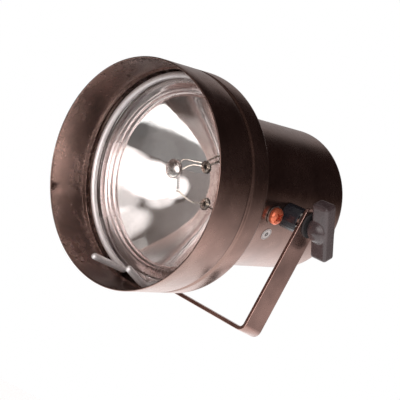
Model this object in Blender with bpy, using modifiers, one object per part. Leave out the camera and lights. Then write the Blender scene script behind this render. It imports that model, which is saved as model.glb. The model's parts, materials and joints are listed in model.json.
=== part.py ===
# A small par can for a PAR 36 lamp: front barrel, drawn rear housing with its transformer,
# sealed beam lamp with a sprung retaining ring, and a strap yoke with two wing knobs.
# Units are metres and +Z is up. The yoke's crossbar rests on z = 0 with its bolt hole at the
# origin, the tilt axis runs along X, and the can points towards -Y.

from math import acos, cos, pi, radians, sin, sqrt, tau

import bmesh
import bpy
from mathutils import Matrix, Vector

# Clearances between neighbouring pieces
GAP = 0.0003
RUNNING_CLEARANCE = 0.0005

# Tilt: the pivot's height over the crossbar, and the rest angle
YOKE_DROP = 0.0671
NOSE_DOWN = radians(16.24)

# Front barrel
BARREL_RADIUS = 0.0600
BARREL_LENGTH = 0.0400
BARREL_WALL = 0.0009
BARREL_CORNER = 0.0028
BARREL_LIP_RADIUS = 0.0545
BEAD_WIDTH = 0.0044
BEAD_HEIGHT = 0.0009

# Place of the pivot behind the front rim
PIVOT_DEPTH = BARREL_LENGTH + 0.0441

# Rear housing
HOUSING_FRONT_RADIUS = 0.0434
HOUSING_REAR_RADIUS = 0.0424
HOUSING_LENGTH = 0.1002
HOUSING_END = BARREL_LENGTH + HOUSING_LENGTH
HOUSING_CORNER = 0.0068
HOUSING_WALL = 0.0008
HOUSING_CONE_RADIUS = 0.0536
HOUSING_CONE_END = BARREL_LENGTH + 0.0090

# Sealed beam lamp
LAMP_CLEARANCE = 0.0016
LAMP_RADIUS = BARREL_RADIUS - BARREL_WALL - BEAD_HEIGHT - LAMP_CLEARANCE
LAMP_SEAT_DEPTH = BARREL_LENGTH - BARREL_WALL - HOUSING_WALL - 2 * GAP
LAMP_FLANGE = 0.0064
LENS_FRONT = LAMP_SEAT_DEPTH - LAMP_FLANGE
LENS_EDGE = 0.0030
LENS_BACK = LENS_FRONT + LENS_EDGE
MIRROR_RADIUS = 0.0524
MIRROR_FOCUS = 0.0240
GLASS_WALL = 0.0022
FERRULE_OFFSET = 0.0102
FERRULE_ANGLE = radians(112)
FERRULE_HOLE_RADIUS = 0.0036
TERMINAL_SCREW_RADIUS = 0.0020
POST_RADIUS = 0.0005
FILAMENT_LENGTH = 0.0090
FILAMENT_COIL_RADIUS = 0.0008
FILAMENT_WIRE_RADIUS = 0.00018
FILAMENT_TURNS = 9
SHIELD_RADIUS = 0.0057
SHIELD_DEPTH = LENS_BACK + 0.0032
SHIELD_DOME = 0.0030
SHIELD_OFFSET = 0.0066

# Retaining ring: a sprung wire with two finger ends at the bottom of the barrel
RING_WIRE_RADIUS = 0.0018
RING_RADIUS = BARREL_RADIUS - BARREL_WALL - BEAD_HEIGHT - RUNNING_CLEARANCE - RING_WIRE_RADIUS
RING_DEPTH = LENS_FRONT - GAP - RING_WIRE_RADIUS
RING_GAP_ANGLE = radians(-85.1)
RING_GAP_HALF = radians(12.4)
RING_TIP_DEPTH = 0.0036
RING_TIPS = {"right": (RING_RADIUS - 0.0083, radians(-70.6)), "left": (RING_RADIUS - 0.0059, radians(-102))}
RING_KNEE_DEPTH = 0.0165
RING_KNEE_ANGLE = radians(-71)
RING_BEND_RADIUS = 0.0040

# The barrel's bead stands just in front of the ring
BEAD_DEPTH = RING_DEPTH - RING_WIRE_RADIUS - BEAD_WIDTH / 2

# Yoke: a bent flat strap
YOKE_OUTER_WIDTH = 0.1164
STRAP_WIDTH = 0.0160
STRAP_THICKNESS = 0.0020
STRAP_BEND = 0.0045
ARM_CORNER = 0.0035
MOUNT_HOLE_RADIUS = 0.00425

# Pivot hardware on each side, listed from the housing outwards
STUD_RADIUS = 0.0030
STUD_END = 0.0350
SPACER_RADIUS = 0.0072
LOCK_WASHER_RADIUS = 0.0072
LOCK_WASHER_THICKNESS = 0.0014
LOCK_WASHER_TEETH = 12
WASHER_RADIUS = 0.0070
WASHER_THICKNESS = 0.0012
PIVOT_NUT_FLATS = 0.0100
PIVOT_NUT_HEIGHT = 0.0050

# Wing knob
KNOB_HUB_RADIUS = 0.0074
KNOB_NECK_RADIUS = 0.0044
KNOB_HUB_LENGTH = 0.0118
KNOB_WING_SPAN = 0.0330
KNOB_WING_THICKNESS = 0.0080
KNOB_WING_DEPTH = 0.0104
KNOB_WING_OVERHANG = 0.0009
KNOB_BORE_DEPTH = 0.0080
KNOB_ANGLES = {"right": radians(27), "left": radians(-38)}

# Earth screw beside the right pivot
EARTH_DEPTH = PIVOT_DEPTH - 0.0133
EARTH_HEIGHT = -0.0008
EARTH_SCREW_RADIUS = 0.0025
EARTH_SCREW_LENGTH = 0.0120
EARTH_HEAD_RADIUS = 0.0047
EARTH_HEAD_HEIGHT = 0.0030
EARTH_WASHER_RADIUS = 0.0052
EARTH_WASHER_THICKNESS = 0.0007
EARTH_NUT_FLATS = 0.0080
EARTH_NUT_HEIGHT = 0.0040

# Cable gland in the rear wall
GLAND_HEIGHT = -0.0262
GLAND_THREAD_RADIUS = 0.0060
GLAND_BORE_RADIUS = 0.0036
GLAND_FLATS = 0.0150
GLAND_COLLAR = 0.0035
GLAND_CAP_LENGTH = 0.0085
GLAND_THREAD_IN = 0.0075
GLAND_LOCKNUT_HEIGHT = 0.0035

# Transformer: E and I laminations, bobbin, winding and strap
CORE_WIDTH = 0.0540
CORE_LENGTH = 0.0450
CORE_STACK = 0.0220
CORE_LEG = 0.0090
BOBBIN_WALL = 0.0009
BRACKET_THICKNESS = 0.0010
BRACKET_WIDTH = 0.0180
BRACKET_FOOT = 0.0068
REAR_SCREW_RADIUS = 0.0015
REAR_SCREW_LENGTH = 0.0070
REAR_HEAD_RADIUS = 0.0029
REAR_HEAD_HEIGHT = 0.0020
REAR_NUT_FLATS = 0.0055
REAR_NUT_HEIGHT = 0.0024

# Terminal block over the transformer
BLOCK_WIDTH = 0.0240
BLOCK_LENGTH = 0.0120
BLOCK_THICKNESS = 0.0100
BLOCK_HEIGHT = 0.0272
POLE_OFFSET = 0.0070
POLE_RADIUS = 0.0018

# Leads
LEAD_RADIUS = 0.0012
TAG_EYE_RADIUS = 0.0042
TAG_THICKNESS = 0.0008
TAG_BARREL_RADIUS = 0.0017
TAG_BARREL_LENGTH = 0.0060
TAG_BARREL_LIFT = TAG_BARREL_RADIUS - TAG_THICKNESS / 2

# Facets round the circles
TINY = 10
COARSE = 16
MEDIUM = 24
FINE = 36
FINEST = 48

# Colours, roughness and metallic value of each finish
FINISHES = {
    "black_paint": ((0.030, 0.024, 0.022), 0.38, 0.0),
    "knob_grey": ((0.060, 0.052, 0.055), 0.45, 0.0),
    "black_plastic": ((0.012, 0.012, 0.014), 0.40, 0.0),
    "zinc": ((0.62, 0.61, 0.58), 0.35, 1.0),
    "spring_steel": ((0.78, 0.76, 0.74), 0.22, 1.0),
    "mirror": ((0.90, 0.89, 0.88), 0.05, 1.0),
    "lamp_glass": ((0.95, 0.96, 0.97), 0.02, 0.0),
    "nickel": ((0.66, 0.63, 0.58), 0.25, 1.0),
    "tungsten": ((0.35, 0.34, 0.33), 0.40, 1.0),
    "earth_copper": ((0.72, 0.24, 0.13), 0.35, 0.6),
    "laminations": ((0.28, 0.27, 0.26), 0.50, 0.8),
    "bobbin_plastic": ((0.05, 0.05, 0.06), 0.50, 0.0),
    "winding_tape": ((0.62, 0.45, 0.10), 0.45, 0.0),
    "block_plastic": ((0.80, 0.80, 0.76), 0.50, 0.0),
    "brass": ((0.72, 0.55, 0.25), 0.30, 1.0),
    "lead_red": ((0.45, 0.03, 0.03), 0.50, 0.0),
    "lead_blue": ((0.03, 0.06, 0.40), 0.50, 0.0),
    "lead_green": ((0.10, 0.40, 0.06), 0.50, 0.0),
    "lead_white": ((0.75, 0.75, 0.72), 0.50, 0.0),
}

SIDES = {"right": 1, "left": -1}


# Small geometry helpers

def at(depth):
    """Place along the can's axis, from the pivot, of a depth behind the front rim."""
    return depth - PIVOT_DEPTH


def arc(centre, radius, start, end, pieces):
    """Points of an arc in a plane, both ends included."""
    angles = (start + (end - start) * i / pieces for i in range(pieces + 1))
    return [(centre[0] + radius * cos(a), centre[1] + radius * sin(a)) for a in angles]


def around(radius, angle):
    """X and Z of a point on a circle round the can's axis."""
    return radius * cos(angle), radius * sin(angle)


def housing_radius(depth):
    """Outer radius of the slightly tapered rear housing."""
    taper = (HOUSING_FRONT_RADIUS - HOUSING_REAR_RADIUS) / (HOUSING_END - HOUSING_CORNER - HOUSING_CONE_END)
    return HOUSING_FRONT_RADIUS - taper * (depth - HOUSING_CONE_END)


def smooth_route(points, per_span=5):
    """Catmull-Rom curve through the route's own points."""
    nodes = [Vector(p) for p in points]
    nodes = [2 * nodes[0] - nodes[1]] + nodes + [2 * nodes[-1] - nodes[-2]]
    route = []
    for i in range(1, len(nodes) - 2):
        before, start, end, after = nodes[i - 1:i + 3]
        for step in range(per_span):
            t = step / per_span
            linear = (end - before) * t
            square = (2 * before - 5 * start + 4 * end - after) * t ** 2
            cube = (3 * start - before - 3 * end + after) * t ** 3
            route.append(start + 0.5 * (linear + square + cube))
    route.append(nodes[-2])
    return route


# Blender helpers

def empty_scene():
    """Remove everything the scene holds."""
    for obj in list(bpy.data.objects):
        bpy.data.objects.remove(obj, do_unlink=True)
    for collection in list(bpy.data.collections):
        bpy.data.collections.remove(collection)


def new_collection(name):
    """A collection in the scene."""
    collection = bpy.data.collections.new(name)
    bpy.context.scene.collection.children.link(collection)
    return collection


def new_material(name, finish):
    """A Principled material of its own for one piece."""
    colour, roughness, metallic = FINISHES[finish]
    material = bpy.data.materials.new(name)
    material.use_nodes = True
    shader = material.node_tree.nodes["Principled BSDF"]
    shader.inputs["Base Color"].default_value = (*colour, 1.0)
    shader.inputs["Roughness"].default_value = roughness
    shader.inputs["Metallic"].default_value = metallic
    if finish == "lamp_glass":
        shader.inputs["Transmission Weight"].default_value = 1.0
    material.diffuse_color = (*colour, 1.0)
    return material


def link(obj, collection):
    """Put an object in one collection only."""
    for other in list(obj.users_collection):
        other.objects.unlink(obj)
    collection.objects.link(obj)
    return obj


def from_bmesh(name, bm):
    """An object from a bmesh, in the cutters' collection until it is named a piece."""
    mesh = bpy.data.meshes.new(name)
    bm.to_mesh(mesh)
    bm.free()
    obj = bpy.data.objects.new(name, mesh)
    CUTTERS.objects.link(obj)
    return obj


def settle(obj, sharp=radians(38)):
    """Turn an object's modifiers or curve into its mesh, with sharp edges by angle."""
    bpy.context.view_layer.update()
    evaluated = obj.evaluated_get(bpy.context.evaluated_depsgraph_get())
    mesh = bpy.data.meshes.new_from_object(evaluated)
    bm = bmesh.new()
    bm.from_mesh(mesh)
    bmesh.ops.remove_doubles(bm, verts=bm.verts, dist=0.00001)
    bm.to_mesh(mesh)
    bm.free()
    solid = bpy.data.objects.new(obj.name, mesh)
    solid.matrix_world = obj.matrix_world.copy()
    CUTTERS.objects.link(solid)
    bpy.data.objects.remove(obj, do_unlink=True)
    mesh.shade_smooth()
    mesh.set_sharp_from_angle(angle=sharp)
    return solid


def lathe(name, outline, facets=MEDIUM):
    """A turned solid round Y: the closed outline runs towards -Y on its outer side."""
    mesh = bpy.data.meshes.new(name)
    count = len(outline)
    on_axis = outline[0][0] == 0 and outline[-1][0] == 0
    edges = [(i, i + 1) for i in range(count - 1)]
    if not on_axis:
        edges.append((count - 1, 0))
    mesh.from_pydata([(radius, along, 0) for radius, along in outline], edges, [])
    obj = bpy.data.objects.new(name, mesh)
    CUTTERS.objects.link(obj)
    screw = obj.modifiers.new("Turn", "SCREW")
    screw.axis = "Y"
    screw.steps = facets
    screw.render_steps = facets
    screw.use_merge_vertices = True
    screw.merge_threshold = 0.00001
    return settle(obj)


def tube_outline(inner, outer, front, back):
    """Outline of a plain turned sleeve from front to back along Y."""
    return [(inner, back), (outer, back), (outer, front), (inner, front)]


def rod_outline(radius, front, back):
    """Outline of a plain turned rod from front to back along Y."""
    return [(0, back), (radius, back), (radius, front), (0, front)]


def box(name, size, centre=(0, 0, 0)):
    """A plain box."""
    bm = bmesh.new()
    bmesh.ops.create_cube(bm, size=1)
    bmesh.ops.scale(bm, vec=size, verts=bm.verts)
    bmesh.ops.translate(bm, vec=centre, verts=bm.verts)
    return from_bmesh(name, bm)


def prism(name, outline, thickness, holes=()):
    """A flat outline in XY, thickened evenly both ways along Z."""
    curve = bpy.data.curves.new(name, "CURVE")
    curve.dimensions = "2D"
    curve.fill_mode = "BOTH"
    curve.extrude = thickness / 2
    for loop in (outline, *holes):
        spline = curve.splines.new("POLY")
        spline.points.add(len(loop) - 1)
        for point, (x, y) in zip(spline.points, loop):
            point.co = (x, y, 0, 1)
        spline.use_cyclic_u = True
    obj = bpy.data.objects.new(name, curve)
    CUTTERS.objects.link(obj)
    return settle(obj)


def wire(name, points, radius, sides=2):
    """A round wire along the points, with flat ends."""
    curve = bpy.data.curves.new(name, "CURVE")
    curve.dimensions = "3D"
    curve.bevel_depth = radius
    curve.bevel_resolution = sides
    curve.use_fill_caps = True
    spline = curve.splines.new("POLY")
    spline.points.add(len(points) - 1)
    for point, place in zip(spline.points, points):
        point.co = (*place, 1)
    obj = bpy.data.objects.new(name, curve)
    CUTTERS.objects.link(obj)
    return settle(obj)


def hexagon(flats):
    """Corners of a hexagon of the given width across its flats."""
    corner = flats / 2 / cos(pi / 6)
    return [(corner * cos(i * tau / 6), corner * sin(i * tau / 6)) for i in range(6)]


def circle(radius, facets=COARSE):
    """Corners of a round hole."""
    return [(radius * cos(i * tau / facets), radius * sin(i * tau / facets)) for i in range(facets)]


def nut(name, flats, height, bore):
    """A hexagon nut round Y, with its inner face at y = 0 and its height towards -Y."""
    obj = prism(name, hexagon(flats), height, [circle(bore)])
    obj.data.transform(Matrix.Translation((0, -height / 2, 0)) @ Matrix.Rotation(pi / 2, 4, "X"))
    return obj


def boolean(obj, other, operation):
    """A live Boolean modifier; its tool stays hidden with the cutters."""
    modifier = obj.modifiers.new(operation.title(), "BOOLEAN")
    modifier.operation = operation
    modifier.solver = "EXACT"
    modifier.object = other
    other.hide_render = True
    other.display_type = "WIRE"
    return obj


def bevel(obj, width, segments=1, angle=radians(40)):
    """Round the edges sharper than an angle."""
    modifier = obj.modifiers.new("Bevel", "BEVEL")
    modifier.width = width
    modifier.segments = segments
    modifier.limit_method = "ANGLE"
    modifier.angle_limit = angle
    modifier.use_clamp_overlap = True
    return obj


def piece(obj, name, finish, parent=None, matrix=None):
    """Name a finished object as a piece of the can, with its own material."""
    obj.name = name
    if not obj.data.materials:
        obj.data.name = name
        obj.data.materials.append(None)
    obj.material_slots[0].link = "OBJECT"
    obj.material_slots[0].material = new_material(name, finish)
    link(obj, PARTS)
    if parent is not None:
        obj.parent = parent
    if matrix is not None:
        obj.matrix_basis = matrix
    return obj


def tool(obj, matrix=None, parent=None):
    """Place a cutter."""
    obj.name = "cutter_" + obj.name
    if parent is not None:
        obj.parent = parent
    if matrix is not None:
        obj.matrix_basis = matrix
    return obj


def outward(side):
    """Turns a shape made round +Y so that +Y points out of the can along the tilt axis."""
    return Matrix.Rotation(-SIDES[side] * pi / 2, 4, "Z")


# Front barrel and rear housing

def bead_points(radius, direction):
    """The rolled bead pressed into the barrel's wall, from its rear to its front or back."""
    points = []
    for i in range(5):
        share = i / 4
        depth = BEAD_DEPTH + direction * BEAD_WIDTH * (0.5 - share)
        points.append((radius - BEAD_HEIGHT * (1 - cos(share * tau)) / 2, at(depth)))
    return points


def make_barrel(can):
    """Rolled sheet barrel with a half-round front edge, a bead and a turned-in rear lip."""
    outer = BARREL_RADIUS
    inner = BARREL_RADIUS - BARREL_WALL
    corner = (outer - BARREL_CORNER, at(BARREL_LENGTH - BARREL_CORNER))
    edge = ((outer + inner) / 2, at(BARREL_WALL / 2))
    outline = [(BARREL_LIP_RADIUS, at(BARREL_LENGTH))]
    outline += arc(corner, BARREL_CORNER, pi / 2, 0, 4)
    outline += bead_points(outer, 1)
    outline += arc(edge, BARREL_WALL / 2, 0, -pi, 3)
    outline += bead_points(inner, -1)
    outline += arc(corner, BARREL_CORNER - BARREL_WALL, 0, pi / 2, 3)
    outline += [(BARREL_LIP_RADIUS, at(BARREL_LENGTH - BARREL_WALL))]
    return piece(lathe("barrel", outline, FINEST), "front_barrel", "black_paint", can)


def housing_outline(inset):
    """One side of the drawn housing's wall, from the rear centre to its front flange."""
    rear = HOUSING_END - inset
    radius = HOUSING_CORNER - inset
    centre = (HOUSING_REAR_RADIUS - HOUSING_CORNER, at(HOUSING_END - HOUSING_CORNER))
    cone = Vector((HOUSING_CONE_RADIUS - HOUSING_FRONT_RADIUS, LAMP_SEAT_DEPTH - HOUSING_CONE_END))
    slope = inset * (cone.length + cone.y) / cone.x
    outline = [(0, at(rear))]
    outline += arc(centre, radius, pi / 2, 0, 4)
    outline += [(HOUSING_FRONT_RADIUS - inset, at(HOUSING_CONE_END - slope))]
    outline += [(HOUSING_CONE_RADIUS - inset, at(LAMP_SEAT_DEPTH + GAP + HOUSING_WALL - inset + 0.0006))]
    outline += [(HOUSING_CONE_RADIUS, at(LAMP_SEAT_DEPTH + GAP + HOUSING_WALL - inset))]
    outline += [(BARREL_RADIUS - BARREL_CORNER, at(LAMP_SEAT_DEPTH + GAP + HOUSING_WALL - inset))]
    return outline


def make_housing(can):
    """Drawn cup: flange trapped behind the lamp, cone round the reflector, tapered body."""
    outline = housing_outline(0) + housing_outline(HOUSING_WALL)[::-1]
    housing = lathe("housing", outline, FINEST)
    reach = HOUSING_FRONT_RADIUS * 2
    pivot_hole = lathe("pivot_hole", rod_outline(STUD_RADIUS + RUNNING_CLEARANCE, -reach, reach), COARSE)
    boolean(housing, tool(pivot_hole, outward("right"), can), "DIFFERENCE")
    earth_hole = lathe("earth_hole", rod_outline(EARTH_SCREW_RADIUS + GAP, 0, reach), COARSE)
    boolean(housing, tool(earth_hole, earth_frame(), can), "DIFFERENCE")
    wall = at(HOUSING_END)
    gland_hole = lathe("gland_hole", rod_outline(GLAND_THREAD_RADIUS + GAP, wall - 0.01, wall + 0.01), COARSE)
    boolean(housing, tool(gland_hole, Matrix.Translation((0, 0, GLAND_HEIGHT)), can), "DIFFERENCE")
    off_facet = Matrix.Rotation(radians(7), 4, "Y")
    for i, (x, z) in enumerate(rear_screw_places()):
        hole = lathe(f"rear_hole_{i}", rod_outline(REAR_SCREW_RADIUS + GAP, wall - 0.01, wall + 0.01), TINY)
        boolean(housing, tool(hole, Matrix.Translation((x, 0, z)) @ off_facet, can), "DIFFERENCE")
    return piece(housing, "rear_housing", "black_paint", can)


# Yoke

def make_yoke():
    """A flat strap bent into a U, with rounded arm ends, pivot holes and a bolt hole."""
    half = YOKE_OUTER_WIDTH / 2
    top = YOKE_DROP + STRAP_WIDTH
    bend = STRAP_BEND
    inner_bend = STRAP_BEND - STRAP_THICKNESS
    right = arc((half - bend, bend), bend, -pi / 2, 0, 6) + [(half, top), (half - STRAP_THICKNESS, top)]
    right += arc((half - bend, bend), inner_bend, 0, -pi / 2, 5)
    left = [(-x, z) for x, z in reversed(right)]
    strap = prism("strap", right + left, STRAP_WIDTH)
    strap.data.transform(Matrix.Rotation(pi / 2, 4, "X"))
    side = STRAP_WIDTH / 2
    flat = side - ARM_CORNER
    rounding = YOKE_DROP + flat
    ends = [(-side, -side), (side, -side)] + arc((flat, rounding), ARM_CORNER, 0, pi / 2, 5)
    ends += arc((-flat, rounding), ARM_CORNER, pi / 2, pi, 5)
    slab = prism("arm_shape", ends, YOKE_OUTER_WIDTH + 2 * STRAP_WIDTH)
    slab.data.transform(Matrix.Rotation(pi / 2, 4, "Z") @ Matrix.Rotation(pi / 2, 4, "X"))
    boolean(strap, tool(slab), "INTERSECT")
    pivot = lathe("yoke_pivot", rod_outline(STUD_RADIUS + RUNNING_CLEARANCE, -2 * half, 2 * half), COARSE)
    boolean(strap, tool(pivot, Matrix.Translation((0, 0, YOKE_DROP)) @ outward("right")), "DIFFERENCE")
    bolt = lathe("bolt_hole", rod_outline(MOUNT_HOLE_RADIUS, -STRAP_WIDTH, STRAP_WIDTH), COARSE)
    boolean(strap, tool(bolt, Matrix.Rotation(pi / 2, 4, "X")), "DIFFERENCE")
    return piece(strap, "yoke_bracket", "black_paint")


# Pivot hardware, made round +Y pointing out of the can

ARM_INNER = YOKE_OUTER_WIDTH / 2 - STRAP_THICKNESS
ARM_OUTER = YOKE_OUTER_WIDTH / 2
SPACER_END = ARM_INNER - GAP - LOCK_WASHER_THICKNESS - GAP
WASHER_START = ARM_OUTER + GAP
KNOB_START = WASHER_START + WASHER_THICKNESS + GAP
KNOB_END = KNOB_START + KNOB_HUB_LENGTH


def can_cylinder(name, radius):
    """A cylinder along the can's axis, used to shape what seats on the housing's wall."""
    reach = 4 * SPACER_RADIUS
    return lathe(name, rod_outline(radius, -reach, reach), 2 * FINEST)


def make_spacer(side, can):
    """Plastic spacer with an end hollowed to sit on the round housing."""
    bore = STUD_RADIUS + RUNNING_CLEARANCE
    start = HOUSING_REAR_RADIUS - 2 * HOUSING_WALL
    round_over = 0.0006
    outline = [(bore, SPACER_END)]
    outline += arc((SPACER_RADIUS - round_over, SPACER_END - round_over), round_over, pi / 2, 0, 3)
    outline += [(SPACER_RADIUS, start), (bore, start)]
    spacer = lathe("spacer", outline, MEDIUM)
    seat = housing_radius(PIVOT_DEPTH - SPACER_RADIUS) + GAP
    boolean(spacer, tool(can_cylinder("spacer_seat_" + side, seat), None, can), "DIFFERENCE")
    return piece(spacer, "pivot_spacer_" + side, "black_plastic", can, outward(side))


def make_lock_washer(side, can):
    """Toothed washer between the spacer and the yoke arm."""
    outline = []
    for i in range(LOCK_WASHER_TEETH):
        start = i * tau / LOCK_WASHER_TEETH
        for share, reach in ((0.0, 1.0), (0.45, 1.0), (0.55, 0.84), (0.9, 0.84)):
            angle = start + share * tau / LOCK_WASHER_TEETH
            radius = LOCK_WASHER_RADIUS * reach
            outline.append((radius * cos(angle), radius * sin(angle)))
    bore = circle(STUD_RADIUS + RUNNING_CLEARANCE)
    washer = prism("lock_washer", outline, LOCK_WASHER_THICKNESS, [bore])
    middle = SPACER_END + GAP + LOCK_WASHER_THICKNESS / 2
    washer.data.transform(Matrix.Translation((0, middle, 0)) @ Matrix.Rotation(pi / 2, 4, "X"))
    return piece(washer, "lock_washer_" + side, "zinc", can, outward(side))


def make_washer(side, can):
    """Plain washer under the knob, outside the yoke arm."""
    outline = tube_outline(STUD_RADIUS + RUNNING_CLEARANCE, WASHER_RADIUS, WASHER_START, KNOB_START - GAP)
    return piece(lathe("washer", outline, MEDIUM), "knob_washer_" + side, "black_plastic", can, outward(side))


def make_knob(side, can):
    """Wing knob: a ball-shaped hub with a chunky bar across it and a blind bore for the stud."""
    bore = STUD_RADIUS + GAP
    centre = (KNOB_START + KNOB_END) / 2
    edge = acos(KNOB_NECK_RADIUS / KNOB_HUB_RADIUS)
    reach = KNOB_HUB_LENGTH / 2 / sin(edge)
    outline = [(0, KNOB_END)]
    steps = 8
    for i in range(steps + 1):
        angle = edge * (1 - 2 * i / steps)
        outline.append((KNOB_HUB_RADIUS * cos(angle), centre + reach * sin(angle)))
    outline += [(bore, KNOB_START), (bore, KNOB_START + KNOB_BORE_DEPTH), (0, KNOB_START + KNOB_BORE_DEPTH)]
    hub = lathe("hub", outline, MEDIUM)
    middle = KNOB_END + KNOB_WING_OVERHANG - KNOB_WING_DEPTH / 2
    size = (KNOB_WING_THICKNESS, KNOB_WING_DEPTH, KNOB_WING_SPAN)
    wing = bevel(box("wing_" + side, size, (0, middle, 0)), 0.0016, 2)
    wing = settle(wing)
    clear_bore = lathe("knob_bore_" + side, rod_outline(bore, 0, KNOB_START + KNOB_BORE_DEPTH), MEDIUM)
    frame = outward(side) @ Matrix.Rotation(KNOB_ANGLES[side], 4, "Y")
    boolean(hub, tool(wing, frame, can), "UNION")
    boolean(hub, tool(clear_bore, frame, can), "DIFFERENCE")
    return piece(hub, "wing_knob_" + side, "knob_grey", can, frame)


def make_stud(side, can):
    """Threaded stud fixed in the knob, screwed through to the nut inside the housing."""
    end = KNOB_START + KNOB_BORE_DEPTH - GAP
    outline = rod_outline(STUD_RADIUS, STUD_END, end)
    outline[2:3] = [(STUD_RADIUS, STUD_END + 0.0006), (STUD_RADIUS - 0.0006, STUD_END)]
    return piece(lathe("stud", outline, COARSE), "knob_stud_" + side, "zinc", can, outward(side))


def make_pivot_nut(side, can):
    """Weld nut on the inside of the housing, its outer face shaped to the round wall."""
    inside = housing_radius(PIVOT_DEPTH + PIVOT_NUT_FLATS / 2) - HOUSING_WALL - GAP
    weld_nut = nut("pivot_nut", PIVOT_NUT_FLATS, PIVOT_NUT_HEIGHT, STUD_RADIUS + RUNNING_CLEARANCE)
    weld_nut.data.transform(Matrix.Translation((0, inside, 0)))
    boolean(weld_nut, tool(can_cylinder("nut_seat_" + side, inside), None, can), "INTERSECT")
    return piece(weld_nut, "pivot_nut_" + side, "zinc", can, outward(side))


# Earth screw

def earth_frame():
    """Frame on the tilt side of the housing, +Y pointing out through the earth screw."""
    return Matrix.Translation((0, at(EARTH_DEPTH), EARTH_HEIGHT)) @ outward("right")


def make_earth_screw(can):
    """Pan head screw with its toothed washer outside, nut and ring tag inside."""
    surface = housing_radius(EARTH_DEPTH - EARTH_WASHER_RADIUS)
    washer_start = surface + GAP
    head_start = washer_start + EARTH_WASHER_THICKNESS + GAP
    head_end = head_start + EARTH_HEAD_HEIGHT
    tip = surface - EARTH_SCREW_LENGTH
    frame = earth_frame()
    dome = 0.0012
    outline = [(0, head_end), (0.5 * EARTH_HEAD_RADIUS, head_end - 0.12 * dome)]
    outline += [(0.85 * EARTH_HEAD_RADIUS, head_end - 0.6 * dome), (EARTH_HEAD_RADIUS, head_end - 1.4 * dome)]
    outline += [(EARTH_HEAD_RADIUS, head_start), (EARTH_SCREW_RADIUS, head_start)]
    outline += [(EARTH_SCREW_RADIUS, tip + 0.0005), (EARTH_SCREW_RADIUS - 0.0005, tip), (0, tip)]
    screw = lathe("earth_screw", outline, MEDIUM)
    slot = (0.0011, 0.0036, 0.0052)
    for i, turn in enumerate((0.25, 0.75)):
        arm = box(f"cross_{i}", slot, (0, head_end, 0))
        boolean(screw, tool(arm, frame @ Matrix.Rotation(turn * pi, 4, "Y"), can), "DIFFERENCE")
    piece(screw, "earth_screw", "earth_copper", can, frame)
    outline = tube_outline(EARTH_SCREW_RADIUS + GAP, EARTH_WASHER_RADIUS, washer_start, head_start - GAP)
    piece(lathe("earth_washer", outline, MEDIUM), "earth_washer", "zinc", can, frame)
    inside = surface - HOUSING_WALL - 3 * GAP
    tag_at = inside - TAG_THICKNESS / 2
    tag = ring_tag("earth_tag", EARTH_SCREW_RADIUS + GAP)
    tag.data.transform(Matrix.Translation((0, tag_at, 0)) @ Matrix.Rotation(pi / 2, 4, "Y"))
    piece(tag, "earth_tag", "nickel", can, frame)
    screw_nut = nut("earth_nut", EARTH_NUT_FLATS, EARTH_NUT_HEIGHT, EARTH_SCREW_RADIUS + GAP)
    screw_nut.data.transform(Matrix.Translation((0, inside - TAG_THICKNESS - GAP, 0)))
    piece(screw_nut, "earth_nut", "brass", can, frame)
    return tag_at


def ring_tag(name, bore):
    """Crimped ring terminal: a flat eye in XZ, its round barrel towards +Z and flush with the far face."""
    neck = 0.6 * TAG_BARREL_RADIUS
    reach = TAG_EYE_RADIUS + 0.0010
    lean = acos(neck / TAG_EYE_RADIUS)
    eye = arc((0, 0), TAG_EYE_RADIUS, pi - lean, tau + lean, 14)
    outline = eye + [(neck, reach + 0.001), (-neck, reach + 0.001)]
    tag = prism(name, outline, TAG_THICKNESS, [circle(bore, 12)])
    tag.data.transform(Matrix.Rotation(pi / 2, 4, "X"))
    barrel = lathe(name + "_barrel", rod_outline(TAG_BARREL_RADIUS, 0, TAG_BARREL_LENGTH), TINY)
    barrel.data.transform(Matrix.Translation((0, -TAG_BARREL_LIFT, reach)) @ Matrix.Rotation(pi / 2, 4, "X"))
    boolean(tag, barrel, "UNION")
    joined = settle(tag)
    bpy.data.objects.remove(barrel, do_unlink=True)
    return joined


# Cable gland

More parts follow.
